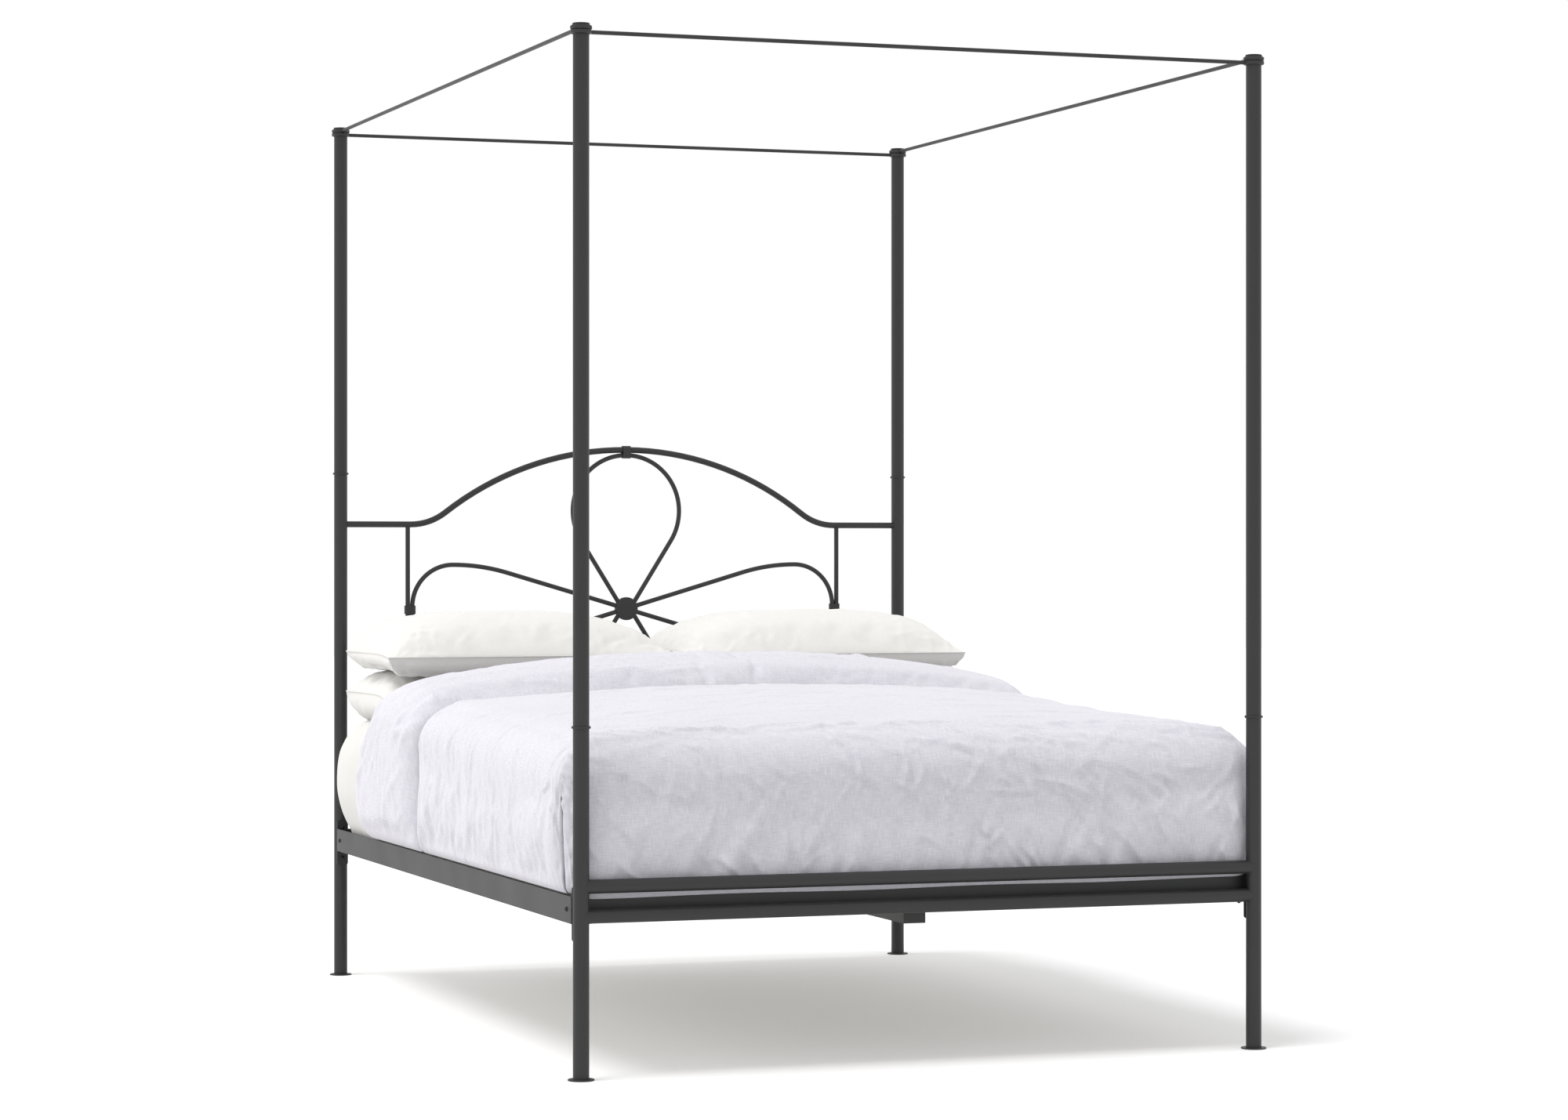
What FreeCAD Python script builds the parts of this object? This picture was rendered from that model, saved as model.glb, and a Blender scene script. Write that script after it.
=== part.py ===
import FreeCAD, Part
import math
import os

from FreeCAD import Vector

# Four-poster bed of black powder-coated steel, made up with a mattress, a duvet and two pairs of pillows.
# The frame stands on the floor at Z = 0, centred on the origin. +X is to the right of someone at the foot,
# +Y runs from the foot to the headboard and +Z is up. Sizes are in millimetres.

# Mattress, the size that the frame is built round
mattress_width = 1556.0
mattress_length = 2034.0
mattress_height = 318.0
mattress_side_overhang = 18.0
mattress_end_room = 39.0

# Posts: two lengths of round tube each, with a collared connector between them
post_diameter = 33.5
post_wall = 1.5
post_top_height = 2131.0
foot_collar_height = 719.0
head_collar_height = 1274.0

# Fits shared by the whole frame
tube_fit_clearance = 0.15
weld_gap = 0.1
seat_gap = 0.3
cut_overrun = 6.0

# Flanged glides under the posts
glide_diameter = 55.0
glide_thickness = 3.0
glide_edge_radius = 1.2
glide_plug_length = 25.0

# Connectors inside the posts, with the bead that shows
connector_insert_length = 60.0
connector_wall = 2.5
collar_diameter = 40.0
collar_height = 5.5
collar_edge_radius = 2.2

# Studs, canopy rings and caps on top of the posts
stud_plug_length = 30.0
stud_diameter = 20.0
canopy_rod_diameter = 8.6
canopy_ring_diameter = 45.0
canopy_ring_height = 8.8
canopy_ring_edge_radius = 3.0
canopy_ring_clearance = 0.25
cap_diameter = 36.0
cap_height = 4.6
cap_edge_radius = 1.5
cap_pin_diameter = 8.0
cap_pin_length = 13.0

# Headboard: an arched tube over a four-petal motif of bent rod round a hub
arch_tube_diameter = 15.6
arch_tube_wall = 1.2
arch_peak_height = 1341.0
arch_crown_radius = 800.0
shoulder_height = 1145.5
shoulder_bend_radius = 150.0
hub_height = 927.0
hub_diameter = 60.0
hub_thickness = 16.0
hub_edge_radius = 2.5
petal_rod_diameter = 11.7
petal_loop_radius = 145.0
petal_foot_offset = 10.6
petal_start_share = 0.9
side_petal_rise = 115.0
side_petal_bend_radius = 107.0
side_petal_limb_radius = 515.0
upright_spacing = 1170.0
upright_diameter = 11.7
clamp_gap = 0.3
clamp_clearance = 0.6
clamp_wall = 2.2
clamp_length = 21.5

# Foot rails between the foot posts
foot_rail_diameter = 29.0
foot_rail_wall = 1.5
foot_rail_upper_height = 394.0
foot_rail_lower_height = 333.0
weld_flare_length = 6.0
weld_flare_width = 1.9

# Side rails: steel angle with the ledge at the bottom
side_rail_bottom_height = 317.0
side_rail_height = 56.0
side_rail_thickness = 3.0
side_rail_ledge_width = 35.0
side_rail_offset = 15.0
side_rail_end_gap = 0.5

# Corner brackets between the posts and the side rails
bracket_thickness = 4.0
bracket_plate_bottom_height = 281.0
bracket_plate_height = 113.0
bracket_plate_width = 28.0
bracket_corner_radius = 6.0
bracket_tab_length = 60.0
bracket_tab_height = 44.0

# Crossbars, centre beam and slats
crossbar_setback = 7.0
crossbar_ledge_width = 65.0
crossbar_thickness = 3.0
crossbar_end_gap = 0.5
beam_width = 49.0
beam_height = 31.0
beam_wall = 2.0
beam_end_setback = 76.0
slat_count = 14
slat_width = 68.0
slat_thickness = 19.0
slat_end_gap = 2.0
slat_margin = 12.0

# Bolts and nuts
bolt_diameter = 6.0
bolt_hole_clearance = 0.25
bolt_head_diameter = 11.0
bolt_head_height = 3.5
bolt_head_edge_radius = 1.6
bolt_tip_length = 2.0
nut_width = 10.0
nut_height = 5.0
rail_bolt_end_distance = 32.0
post_bolt_edge_distance = 18.0
post_bolt_grip = 9.0
beam_bolt_end_distance = 8.0

# Mattress form in its fitted sheet: height and inset of its outline, from the bottom up
mattress_corner_radius = 86.0
mattress_edge_inset = 48.0
mattress_lower_shares = (0.0, 0.05, 0.13, 0.28, 0.5)
mattress_lower_inset_shares = (0.85, 0.5, 0.27, 0.08, 0.0)
mattress_upper_shares = (0.5, 0.7, 0.85, 0.95, 1.0)
mattress_upper_inset_shares = (0.0, 0.06, 0.3, 0.75, 1.5)

# Duvet, drawn over the mattress, with its head end folded back in a thick roll
duvet_side_thickness = 16.0
duvet_foot_thickness = 16.0
duvet_clearance = 1.5
duvet_hem_tuck = 6.0
duvet_hem_gap = 2.0
duvet_corner_radius = 85.0
duvet_crown_drop = 38.0
duvet_loft = 165.0
duvet_draw_in = 55.0
duvet_side_bulge_share = 0.25
duvet_head_edge = 560.0
duvet_roll_depth = 105.0
duvet_roll_height = 160.0
duvet_roll_bow_shares = (0.25, 0.62)

# Cross-sections of the duvet, each as shares of its length, its loft, its draw-in and its crown
duvet_foot_shares = (
    (0.0, -0.41, 1.0, 0.2),
    (0.006, -0.165, 0.42, 0.2),
    (0.019, 0.065, 0.12, 0.22),
    (0.047, 0.21, 0.0, 0.3),
)
duvet_section_count = 36
duvet_body_shares = (
    (0.047, 0.21, 0.0, 0.3),
    (0.116, 0.32, 0.0, 0.6),
    (0.335, 0.435, 0.0, 0.95),
    (0.592, 0.53, 0.0, 1.0),
    (0.706, 0.58, 0.0, 1.0),
    (0.744, 0.48, 0.13, 1.0),
    (0.784, 0.655, 0.04, 1.1),
    (0.857, 0.93, 0.0, 1.4),
    (0.914, 1.0, 0.0, 1.5),
    (1.0, 0.78, 0.0, 1.4),
)

# Pillows: outline at the seam, and how the faces draw in towards the crown
pillow_width = 748.0
pillow_depth = 440.0
pillow_thickness = 134.0
pillow_side_margin = 22.0
pillow_front_gap = 12.0
pillow_side_draw = 20.0
pillow_crown_draw = 5.0
pillow_corner_radius = 9.0
pillow_crown_radius = 70.0
pillow_crown_inset = 140.0
pillow_level_shares = (0.0, 0.22, 0.52, 0.82, 1.0)
pillow_inset_shares = (0.0, 0.07, 0.22, 0.55, 1.0)

# Places worked out from the sizes above
post_x = mattress_width / 2 - mattress_side_overhang
post_y = mattress_length / 2 + mattress_end_room
post_spacing_across = 2 * post_x
post_radius = post_diameter / 2
post_bore_radius = post_radius - post_wall
plug_radius = post_bore_radius - tube_fit_clearance
canopy_lower_height = post_top_height
canopy_upper_height = canopy_lower_height + canopy_ring_height
cap_base_height = canopy_upper_height + canopy_ring_height

bracket_outer_y = post_y - post_radius - weld_gap
bracket_inner_y = bracket_outer_y - bracket_thickness
rail_outer_x = post_x + side_rail_offset
rail_inner_x = rail_outer_x - side_rail_thickness
rail_middle_height = side_rail_bottom_height + side_rail_height / 2
rail_end_y = bracket_inner_y - side_rail_end_gap
tab_inner_x = rail_inner_x - bracket_thickness
ledge_top_height = side_rail_bottom_height + side_rail_thickness
rail_bolt_y = rail_end_y - rail_bolt_end_distance
bracket_plate_top_height = bracket_plate_bottom_height + bracket_plate_height
post_bolt_heights = (
    bracket_plate_bottom_height + post_bolt_edge_distance,
    bracket_plate_top_height - post_bolt_edge_distance,
)
bolt_hole_radius = bolt_diameter / 2 + bolt_hole_clearance

crossbar_outer_y = bracket_inner_y - crossbar_setback
crossbar_ledge_y = crossbar_outer_y - crossbar_ledge_width
crossbar_end_x = tab_inner_x - crossbar_end_gap
crossbar_bolt_x = rail_inner_x - side_rail_ledge_width / 2
crossbar_bolt_y = crossbar_outer_y - crossbar_ledge_width / 2
beam_end_y = post_y - beam_end_setback
beam_bolt_y = beam_end_y - beam_bolt_end_distance
slat_end_x = rail_inner_x - slat_end_gap
slat_edge_y = crossbar_ledge_y - slat_margin

lower_rail_height = 2 * hub_height - arch_peak_height
loop_centre_rise = (
    arch_peak_height - arch_tube_diameter / 2 - clamp_gap - petal_rod_diameter / 2
    - petal_loop_radius - hub_height
)
upright_x = upright_spacing / 2
side_petal_outer_x = upright_x - upright_diameter / 2 - petal_rod_diameter / 2 - clamp_gap

mattress_base_height = ledge_top_height + slat_thickness + seat_gap
mattress_top_height = mattress_base_height + mattress_height
duvet_half_width = mattress_width / 2 + duvet_clearance + duvet_side_thickness
duvet_foot_y = mattress_length / 2 + duvet_clearance + duvet_foot_thickness
duvet_hem_height = side_rail_bottom_height + side_rail_height + duvet_hem_gap
duvet_length = duvet_foot_y + duvet_head_edge
pillow_outer_x = mattress_width / 2 - pillow_side_margin
pillow_x = pillow_outer_x - pillow_width / 2
pillow_front = duvet_head_edge + pillow_front_gap

ends = (("foot", -1), ("head", 1))
sides = (("left", -1), ("right", 1))
upward = Vector(0, 0, 1)
across = Vector(1, 0, 0)
along = Vector(0, 1, 0)


def save(shape, node):
    shape.exportStep("parts/" + node + ".step")


def group(solids, node):
    save(Part.makeCompound(solids), node)


def at_corner(shape, side, end):
    """A shape made at the right-hand head corner, mirrored to the corner asked for."""
    if side < 0:
        shape = shape.mirror(Vector(), across)
    if end < 0:
        shape = shape.mirror(Vector(), along)
    return shape


def box(low, high):
    span = high - low
    return Part.makeBox(span.x, span.y, span.z, low)


def rounded_disc(radius, height, base, axis, edge_radius):
    """A disc whose rims are rounded."""
    disc = Part.makeCylinder(radius, height, base, axis)
    return disc.makeFillet(edge_radius, [edge for edge in disc.Edges if edge.Closed])


def tube(radius, wall, length, base, axis):
    outer = Part.makeCylinder(radius, length, base, axis)
    inner = Part.makeCylinder(radius - wall, length + 2 * cut_overrun, base - axis * cut_overrun, axis)
    return outer.cut(inner)


def upright_post_space(x, y):
    """The space that a post fills, with the weld gap, from the floor to its top."""
    return Part.makeCylinder(post_radius + weld_gap, post_top_height, Vector(x, y, 0), upward)


def arc(start, middle, end):
    return Part.Arc(start, middle, end).toShape()


def line(start, end):
    return Part.LineSegment(start, end).toShape()


def rod_along(edges, radius):
    """Round bar bent along a path of lines and tangent arcs."""
    path = Part.Wire(edges)
    first = edges[0]
    start = first.valueAt(first.FirstParameter)
    heading = first.tangentAt(first.FirstParameter)
    section = Part.Wire([Part.Circle(start, heading, radius).toShape()])
    return path.makePipeShell([section], True, False)


def bolt(seat, axis, grip):
    """A button-head bolt: its head stands on the seat and its shank runs along the axis."""
    head = Part.makeCylinder(bolt_head_diameter / 2, bolt_head_height, seat - axis * bolt_head_height, axis)
    crown = max((edge for edge in head.Edges if edge.Closed), key=lambda edge: -edge.CenterOfMass.dot(axis))
    head = head.makeFillet(bolt_head_edge_radius, [crown])
    return head.fuse(Part.makeCylinder(bolt_diameter / 2, grip, seat, axis))


def nut(seat, axis):
    """A hexagon nut that stands on the seat, away from it along the axis."""
    corner_radius = nut_width / math.sqrt(3)
    flat_way = upward if abs(axis.z) == 0 else across
    other_way = axis.cross(flat_way)
    corners = []
    for step in range(7):
        turn = math.radians(60 * step)
        reach = flat_way * math.cos(turn) + other_way * math.sin(turn)
        corners.append(seat + reach * corner_radius)
    prism = Part.Face(Part.makePolygon(corners)).extrude(axis * nut_height)
    bore = Part.makeCylinder(bolt_hole_radius, nut_height + 2 * cut_overrun, seat - axis * cut_overrun, axis)
    return prism.cut(bore)


def bolt_hole(seat, axis, depth):
    return Part.makeCylinder(bolt_hole_radius, depth + 2 * cut_overrun, seat - axis * cut_overrun, axis)


# Posts, glides, connectors, studs and caps

def make_post(side_name, side, end_name, end):
    x = side * post_x
    y = end * post_y
    collar_middle = head_collar_height if end > 0 else foot_collar_height
    collar_base = collar_middle - collar_height / 2
    collar_top = collar_middle + collar_height / 2
    place = end_name + "_" + side_name

    glide = rounded_disc(glide_diameter / 2, glide_thickness, Vector(x, y, 0), upward, glide_edge_radius)
    glide_plug = Part.makeCylinder(plug_radius, glide_plug_length, Vector(x, y, glide_thickness), upward)
    save(glide.fuse(glide_plug), "glide_" + place)

    lower = tube(post_radius, post_wall, collar_base - glide_thickness, Vector(x, y, glide_thickness), upward)
    for height in post_bolt_heights:
        lower = lower.cut(
            Part.makeCylinder(bolt_hole_radius, post_diameter, Vector(x, y, height), along * -end)
        )
    save(lower, "post_lower_" + place)

    upper = tube(post_radius, post_wall, post_top_height - collar_top, Vector(x, y, collar_top), upward)
    save(upper, "post_upper_" + place)

    insert_base = collar_base - connector_insert_length
    insert_length = collar_height + 2 * connector_insert_length
    collar_seat = Vector(x, y, collar_base)
    collar = rounded_disc(collar_diameter / 2, collar_height, collar_seat, upward, collar_edge_radius)
    insert = Part.makeCylinder(plug_radius, insert_length, Vector(x, y, insert_base), upward)
    bore = Part.makeCylinder(
        plug_radius - connector_wall, insert_length + 2 * cut_overrun,
        Vector(x, y, insert_base - cut_overrun), upward,
    )
    save(collar.fuse(insert).cut(bore), "post_connector_" + place)

    cap = rounded_disc(cap_diameter / 2, cap_height, Vector(x, y, cap_base_height), upward, cap_edge_radius)
    pin = Part.makeCylinder(cap_pin_diameter / 2, cap_pin_length, Vector(x, y, cap_base_height), upward * -1)
    save(cap.fuse(pin), "post_cap_" + place)


def make_stud(x, y):
    plug = Part.makeCylinder(plug_radius, stud_plug_length, Vector(x, y, post_top_height), upward * -1)
    stud = Part.makeCylinder(
        stud_diameter / 2, cap_base_height - post_top_height, Vector(x, y, post_top_height), upward
    )
    pin_hole = Part.makeCylinder(
        cap_pin_diameter / 2 + tube_fit_clearance, cap_pin_length + cut_overrun,
        Vector(x, y, cap_base_height), upward * -1,
    )
    return plug.fuse(stud).cut(pin_hole)


# Canopy rails: a rod with a ring at each end, dropped over the studs

def make_canopy_rail(first, last, node):
    way = (last - first).normalize()
    rod = Part.makeCylinder(
        canopy_rod_diameter / 2, first.distanceToPoint(last), first + upward * (canopy_ring_height / 2), way
    )
    rail = rod
    bores = []
    for base in (first, last):
        rail = rail.fuse(
            rounded_disc(canopy_ring_diameter / 2, canopy_ring_height, base, upward, canopy_ring_edge_radius)
        )
        bores.append(Part.makeCylinder(
            stud_diameter / 2 + canopy_ring_clearance, canopy_ring_height + 2 * cut_overrun,
            base - upward * cut_overrun, upward,
        ))
    for bore in bores:
        rail = rail.cut(bore)
    save(rail.removeSplitter(), node)


# Headboard

def headboard_point(x, height):
    return Vector(x, post_y, height)


def make_arch_rail():
    crown_centre_height = arch_peak_height - arch_crown_radius
    bend_centre_height = shoulder_height + shoulder_bend_radius
    reach = arch_crown_radius + shoulder_bend_radius
    rise = bend_centre_height - crown_centre_height
    bend_x = math.sqrt(reach ** 2 - rise ** 2)
    slope = math.atan2(bend_x, rise)

    def on_crown(turn):
        return headboard_point(
            arch_crown_radius * math.sin(turn), crown_centre_height + arch_crown_radius * math.cos(turn)
        )

    def on_bend(turn, side):
        return headboard_point(
            side * (bend_x - shoulder_bend_radius * math.sin(turn)),
            bend_centre_height - shoulder_bend_radius * math.cos(turn),
        )

    edges = [
        line(headboard_point(-post_x, shoulder_height), on_bend(0, -1)),
        arc(on_bend(0, -1), on_bend(slope / 2, -1), on_bend(slope, -1)),
        arc(on_bend(slope, -1), on_crown(0), on_bend(slope, 1)),
        arc(on_bend(slope, 1), on_bend(slope / 2, 1), on_bend(0, 1)),
        line(on_bend(0, 1), headboard_point(post_x, shoulder_height)),
    ]
    rail = rod_along(edges, arch_tube_diameter / 2).cut(
        rod_along(edges, arch_tube_diameter / 2 - arch_tube_wall)
    )
    for side in (-1, 1):
        rail = rail.cut(upright_post_space(side * post_x, post_y))
    save(rail, "headboard_arch_rail")


def make_lower_rail():
    rail = tube(
        arch_tube_diameter / 2, arch_tube_wall, post_spacing_across,
        headboard_point(-post_x, lower_rail_height), across,
    )
    for side in (-1, 1):
        rail = rail.cut(upright_post_space(side * post_x, post_y))
    save(rail, "headboard_lower_rail")


def make_upright(side_name, side):
    x = side * upright_x
    rod = Part.makeCylinder(
        upright_diameter / 2, shoulder_height - lower_rail_height,
        headboard_point(x, lower_rail_height), upward,
    )
    for height in (lower_rail_height, shoulder_height):
        rod = rod.cut(Part.makeCylinder(
            arch_tube_diameter / 2 + weld_gap, upright_spacing + post_spacing_across,
            headboard_point(-upright_spacing, height), across,
        ))
    save(rod, "headboard_upright_" + side_name)


def hub_space():
    return Part.makeCylinder(
        hub_diameter / 2 + weld_gap, petal_loop_radius,
        headboard_point(0, hub_height) - along * (petal_loop_radius / 2), along,
    )


def distance_to_hub_rim(foot_x, way_x):
    """How far along a limb from its foot, level with the hub, a rod starts inside the hub's rim."""
    start_radius = petal_start_share * hub_diameter / 2
    return math.sqrt(start_radius ** 2 - foot_x ** 2 * (1 - way_x ** 2)) - foot_x * way_x


def make_tall_petal(node, up):
    """The upper or lower petal: two straight limbs from the hub, joined by a round loop."""
    span = math.hypot(petal_foot_offset, loop_centre_rise)
    lean = math.asin(petal_loop_radius / span) - math.atan2(petal_foot_offset, loop_centre_rise)
    start = distance_to_hub_rim(petal_foot_offset, math.sin(lean))

    def place(x, rise):
        return headboard_point(x, hub_height + up * rise)

    def on_limb(side, reach):
        return place(side * (petal_foot_offset + reach * math.sin(lean)), reach * math.cos(lean))

    def on_loop(side):
        return place(
            side * petal_loop_radius * math.cos(lean), loop_centre_rise - petal_loop_radius * math.sin(lean)
        )

    top = place(0, loop_centre_rise + petal_loop_radius)
    flank_rise = petal_loop_radius * math.sin((math.pi / 2 - lean) / 2)
    flank_x = petal_loop_radius * math.cos((math.pi / 2 - lean) / 2)
    edges = [
        line(on_limb(-1, start), on_loop(-1)),
        arc(on_loop(-1), place(-flank_x, loop_centre_rise + flank_rise), top),
        arc(top, place(flank_x, loop_centre_rise + flank_rise), on_loop(1)),
        line(on_loop(1), on_limb(1, start)),
    ]
    save(rod_along(edges, petal_rod_diameter / 2).cut(hub_space()), node)


def make_side_petal(node, side):
    """A flat side petal: long limbs that ease over and bend down beside the upright."""
    peak_x = side_petal_outer_x - side_petal_bend_radius
    limb_drop = side_petal_limb_radius - side_petal_rise
    tilt = math.asin(side_petal_limb_radius / math.hypot(peak_x, limb_drop)) - math.atan2(limb_drop, peak_x)
    start = distance_to_hub_rim(0, math.cos(tilt))
    bend_rise = side_petal_rise - side_petal_bend_radius
    half_turn = math.pi / 4

    def place(x, rise):
        return headboard_point(side * x, hub_height + rise)

    def half(up):
        limb_start = place(start * math.cos(tilt), up * start * math.sin(tilt))
        limb_end = place(
            peak_x - side_petal_limb_radius * math.sin(tilt),
            up * (side_petal_limb_radius * math.cos(tilt) - limb_drop),
        )
        ease = place(
            peak_x - side_petal_limb_radius * math.sin(tilt / 2),
            up * (side_petal_limb_radius * math.cos(tilt / 2) - limb_drop),
        )
        peak = place(peak_x, up * side_petal_rise)
        shoulder = place(
            peak_x + side_petal_bend_radius * math.sin(half_turn),
            up * (bend_rise + side_petal_bend_radius * math.cos(half_turn)),
        )
        turn_end = place(side_petal_outer_x, up * bend_rise)
        return [limb_start, limb_end, ease, peak, shoulder, turn_end]

    upper = half(1)
    lower = half(-1)
    edges = [
        line(upper[0], upper[1]),
        arc(upper[1], upper[2], upper[3]),
        arc(upper[3], upper[4], upper[5]),
        line(upper[5], lower[5]),
        arc(lower[5], lower[4], lower[3]),
        arc(lower[3], lower[2], lower[1]),
        line(lower[1], lower[0]),
    ]
    save(rod_along(edges, petal_rod_diameter / 2).cut(hub_space()), node)


def make_clamp(node, first, first_diameter, second, second_diameter, length_way):
    """A band bent round two bars that lie side by side, with its length along them."""
    gap_way = (second - first).normalize()
    depth_way = gap_way.cross(length_way)
    inner_radius = max(first_diameter, second_diameter) / 2 + clamp_clearance
    low = first - gap_way * (first_diameter / 2 + clamp_clearance - inner_radius)
    high = second + gap_way * (second_diameter / 2 + clamp_clearance - inner_radius)

    def band(radius, length):
        base = length_way * (length / -2)
        low_front = low + depth_way * radius + base
        low_rear = low - depth_way * radius + base
        high_front = high + depth_way * radius + base
        high_rear = high - depth_way * radius + base
        edges = [
            line(low_front, high_front),
            arc(high_front, high + gap_way * radius + base, high_rear),
            line(high_rear, low_rear),
            arc(low_rear, low - gap_way * radius + base, low_front),
        ]
        return Part.Face(Part.Wire(edges)).extrude(length_way * length)

    outside = band(inner_radius + clamp_wall, clamp_length)
    save(outside.cut(band(inner_radius, clamp_length + 2 * cut_overrun)), node)


def make_headboard():
    make_arch_rail()
    make_lower_rail()
    for side_name, side in sides:
        make_upright(side_name, side)
        make_side_petal("headboard_petal_" + side_name, side)
        make_clamp(
            "headboard_clamp_" + side_name,
            headboard_point(side * side_petal_outer_x, hub_height), petal_rod_diameter,
            headboard_point(side * upright_x, hub_height), upright_diameter, upward,
        )
    for level_name, up, tube_height in (("upper", 1, arch_peak_height), ("lower", -1, lower_rail_height)):
        make_tall_petal("headboard_petal_" + level_name, up)
        make_clamp(
            "headboard_clamp_" + level_name,
            headboard_point(0, hub_height + up * (loop_centre_rise + petal_loop_radius)), petal_rod_diameter,
            headboard_point(0, tube_height), arch_tube_diameter, across,
        )
    hub = rounded_disc(
        hub_diameter / 2, hub_thickness, headboard_point(0, hub_height) - along * (hub_thickness / 2), along,
        hub_edge_radius,
    )
    save(hub, "headboard_hub")


# Foot rails

def make_foot_rail(node, height):
    rail_start = Vector(-post_x, -post_y, height)
    rail = Part.makeCylinder(foot_rail_diameter / 2, post_spacing_across, rail_start, across)
    flare_reach = post_radius + weld_flare_length
    for side in (-1, 1):
        flare = Part.makeCone(
            foot_rail_diameter / 2 + weld_flare_width, foot_rail_diameter / 2, flare_reach,
            Vector(side * post_x, -post_y, height), across * -side,
        )
        rail = rail.fuse(flare)
    rail = rail.cut(Part.makeCylinder(
        foot_rail_diameter / 2 - foot_rail_wall, post_spacing_across, rail_start, across
    ))
    for side in (-1, 1):
        rail = rail.cut(upright_post_space(side * post_x, -post_y))
    save(rail, node)


# Side rails, brackets, crossbars, beam and slats

def make_side_rail(side_name, side):
    web = box(
        Vector(rail_inner_x, -rail_end_y, side_rail_bottom_height),
        Vector(rail_outer_x, rail_end_y, side_rail_bottom_height + side_rail_height),
    )
    ledge = box(
        Vector(rail_inner_x - side_rail_ledge_width, -rail_end_y, side_rail_bottom_height),
        Vector(rail_inner_x, rail_end_y, ledge_top_height),
    )
    rail = web.fuse(ledge)
    for end in (-1, 1):
        rail = rail.cut(bolt_hole(
            Vector(rail_outer_x, end * rail_bolt_y, rail_middle_height), across * -1, side_rail_thickness
        ))
        rail = rail.cut(bolt_hole(
            Vector(crossbar_bolt_x, end * crossbar_bolt_y, ledge_top_height), upward * -1, side_rail_thickness
        ))
    save(at_corner(rail.removeSplitter(), side, 1), "side_rail_" + side_name)


def make_bracket(side_name, side, end_name, end):
    """An L of flat steel: a tall plate welded to the post and a tab behind the side rail."""
    plate = box(
        Vector(post_x - bracket_plate_width / 2, bracket_inner_y, bracket_plate_bottom_height),
        Vector(post_x + bracket_plate_width / 2, bracket_outer_y, bracket_plate_top_height),
    )
    corners = [edge for edge in plate.Edges if abs(edge.tangentAt(edge.FirstParameter).y) == 1]
    plate = plate.makeFillet(bracket_corner_radius, corners)
    tab = box(
        Vector(
            tab_inner_x, bracket_inner_y - bracket_tab_length, rail_middle_height - bracket_tab_height / 2
        ),
        Vector(rail_inner_x, bracket_inner_y, rail_middle_height + bracket_tab_height / 2),
    )
    bracket = plate.fuse(tab)
    for height in post_bolt_heights:
        bracket = bracket.cut(bolt_hole(Vector(post_x, bracket_inner_y, height), along, bracket_thickness))
    bracket = bracket.cut(bolt_hole(
        Vector(rail_inner_x, rail_bolt_y, rail_middle_height), across * -1, bracket_thickness
    ))
    save(at_corner(bracket.removeSplitter(), side, end), "corner_bracket_" + end_name + "_" + side_name)


def make_crossbar(end_name, end):
    """Steel angle that stands across the end of the mattress, with its ledge on the side rails' ledges."""
    web = box(
        Vector(-crossbar_end_x, crossbar_outer_y - crossbar_thickness, ledge_top_height),
        Vector(crossbar_end_x, crossbar_outer_y, side_rail_bottom_height + side_rail_height),
    )
    ledge = box(
        Vector(-crossbar_end_x, crossbar_ledge_y, ledge_top_height),
        Vector(crossbar_end_x, crossbar_outer_y - crossbar_thickness, ledge_top_height + crossbar_thickness),
    )
    bar = web.fuse(ledge)
    seat_height = ledge_top_height + crossbar_thickness
    bolt_places = ((-crossbar_bolt_x, crossbar_bolt_y), (crossbar_bolt_x, crossbar_bolt_y), (0, beam_bolt_y))
    for x, y in bolt_places:
        bar = bar.cut(bolt_hole(Vector(x, y, seat_height), upward * -1, crossbar_thickness))
    save(at_corner(bar.removeSplitter(), 1, end), "crossbar_" + end_name)


def make_beam():
    base = Vector(-beam_width / 2, -beam_end_y, ledge_top_height - beam_height)
    outer = box(base, Vector(beam_width / 2, beam_end_y, ledge_top_height))
    inner = box(
        base + Vector(beam_wall, -cut_overrun, beam_wall),
        Vector(beam_width / 2 - beam_wall, beam_end_y + cut_overrun, ledge_top_height - beam_wall),
    )
    beam = outer.cut(inner)
    for end in (-1, 1):
        beam = beam.cut(bolt_hole(Vector(0, end * beam_bolt_y, ledge_top_height), upward * -1, beam_wall))
    save(beam, "centre_beam")


def make_slats():
    pitch = (2 * slat_edge_y - slat_width) / (slat_count - 1)
    slats = []
    for number in range(slat_count):
        y = -slat_edge_y + number * pitch
        slats.append(box(
            Vector(-slat_end_x, y, ledge_top_height),
            Vector(slat_end_x, y + slat_width, ledge_top_height + slat_thickness),
        ))
    group(slats, "slats")


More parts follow.
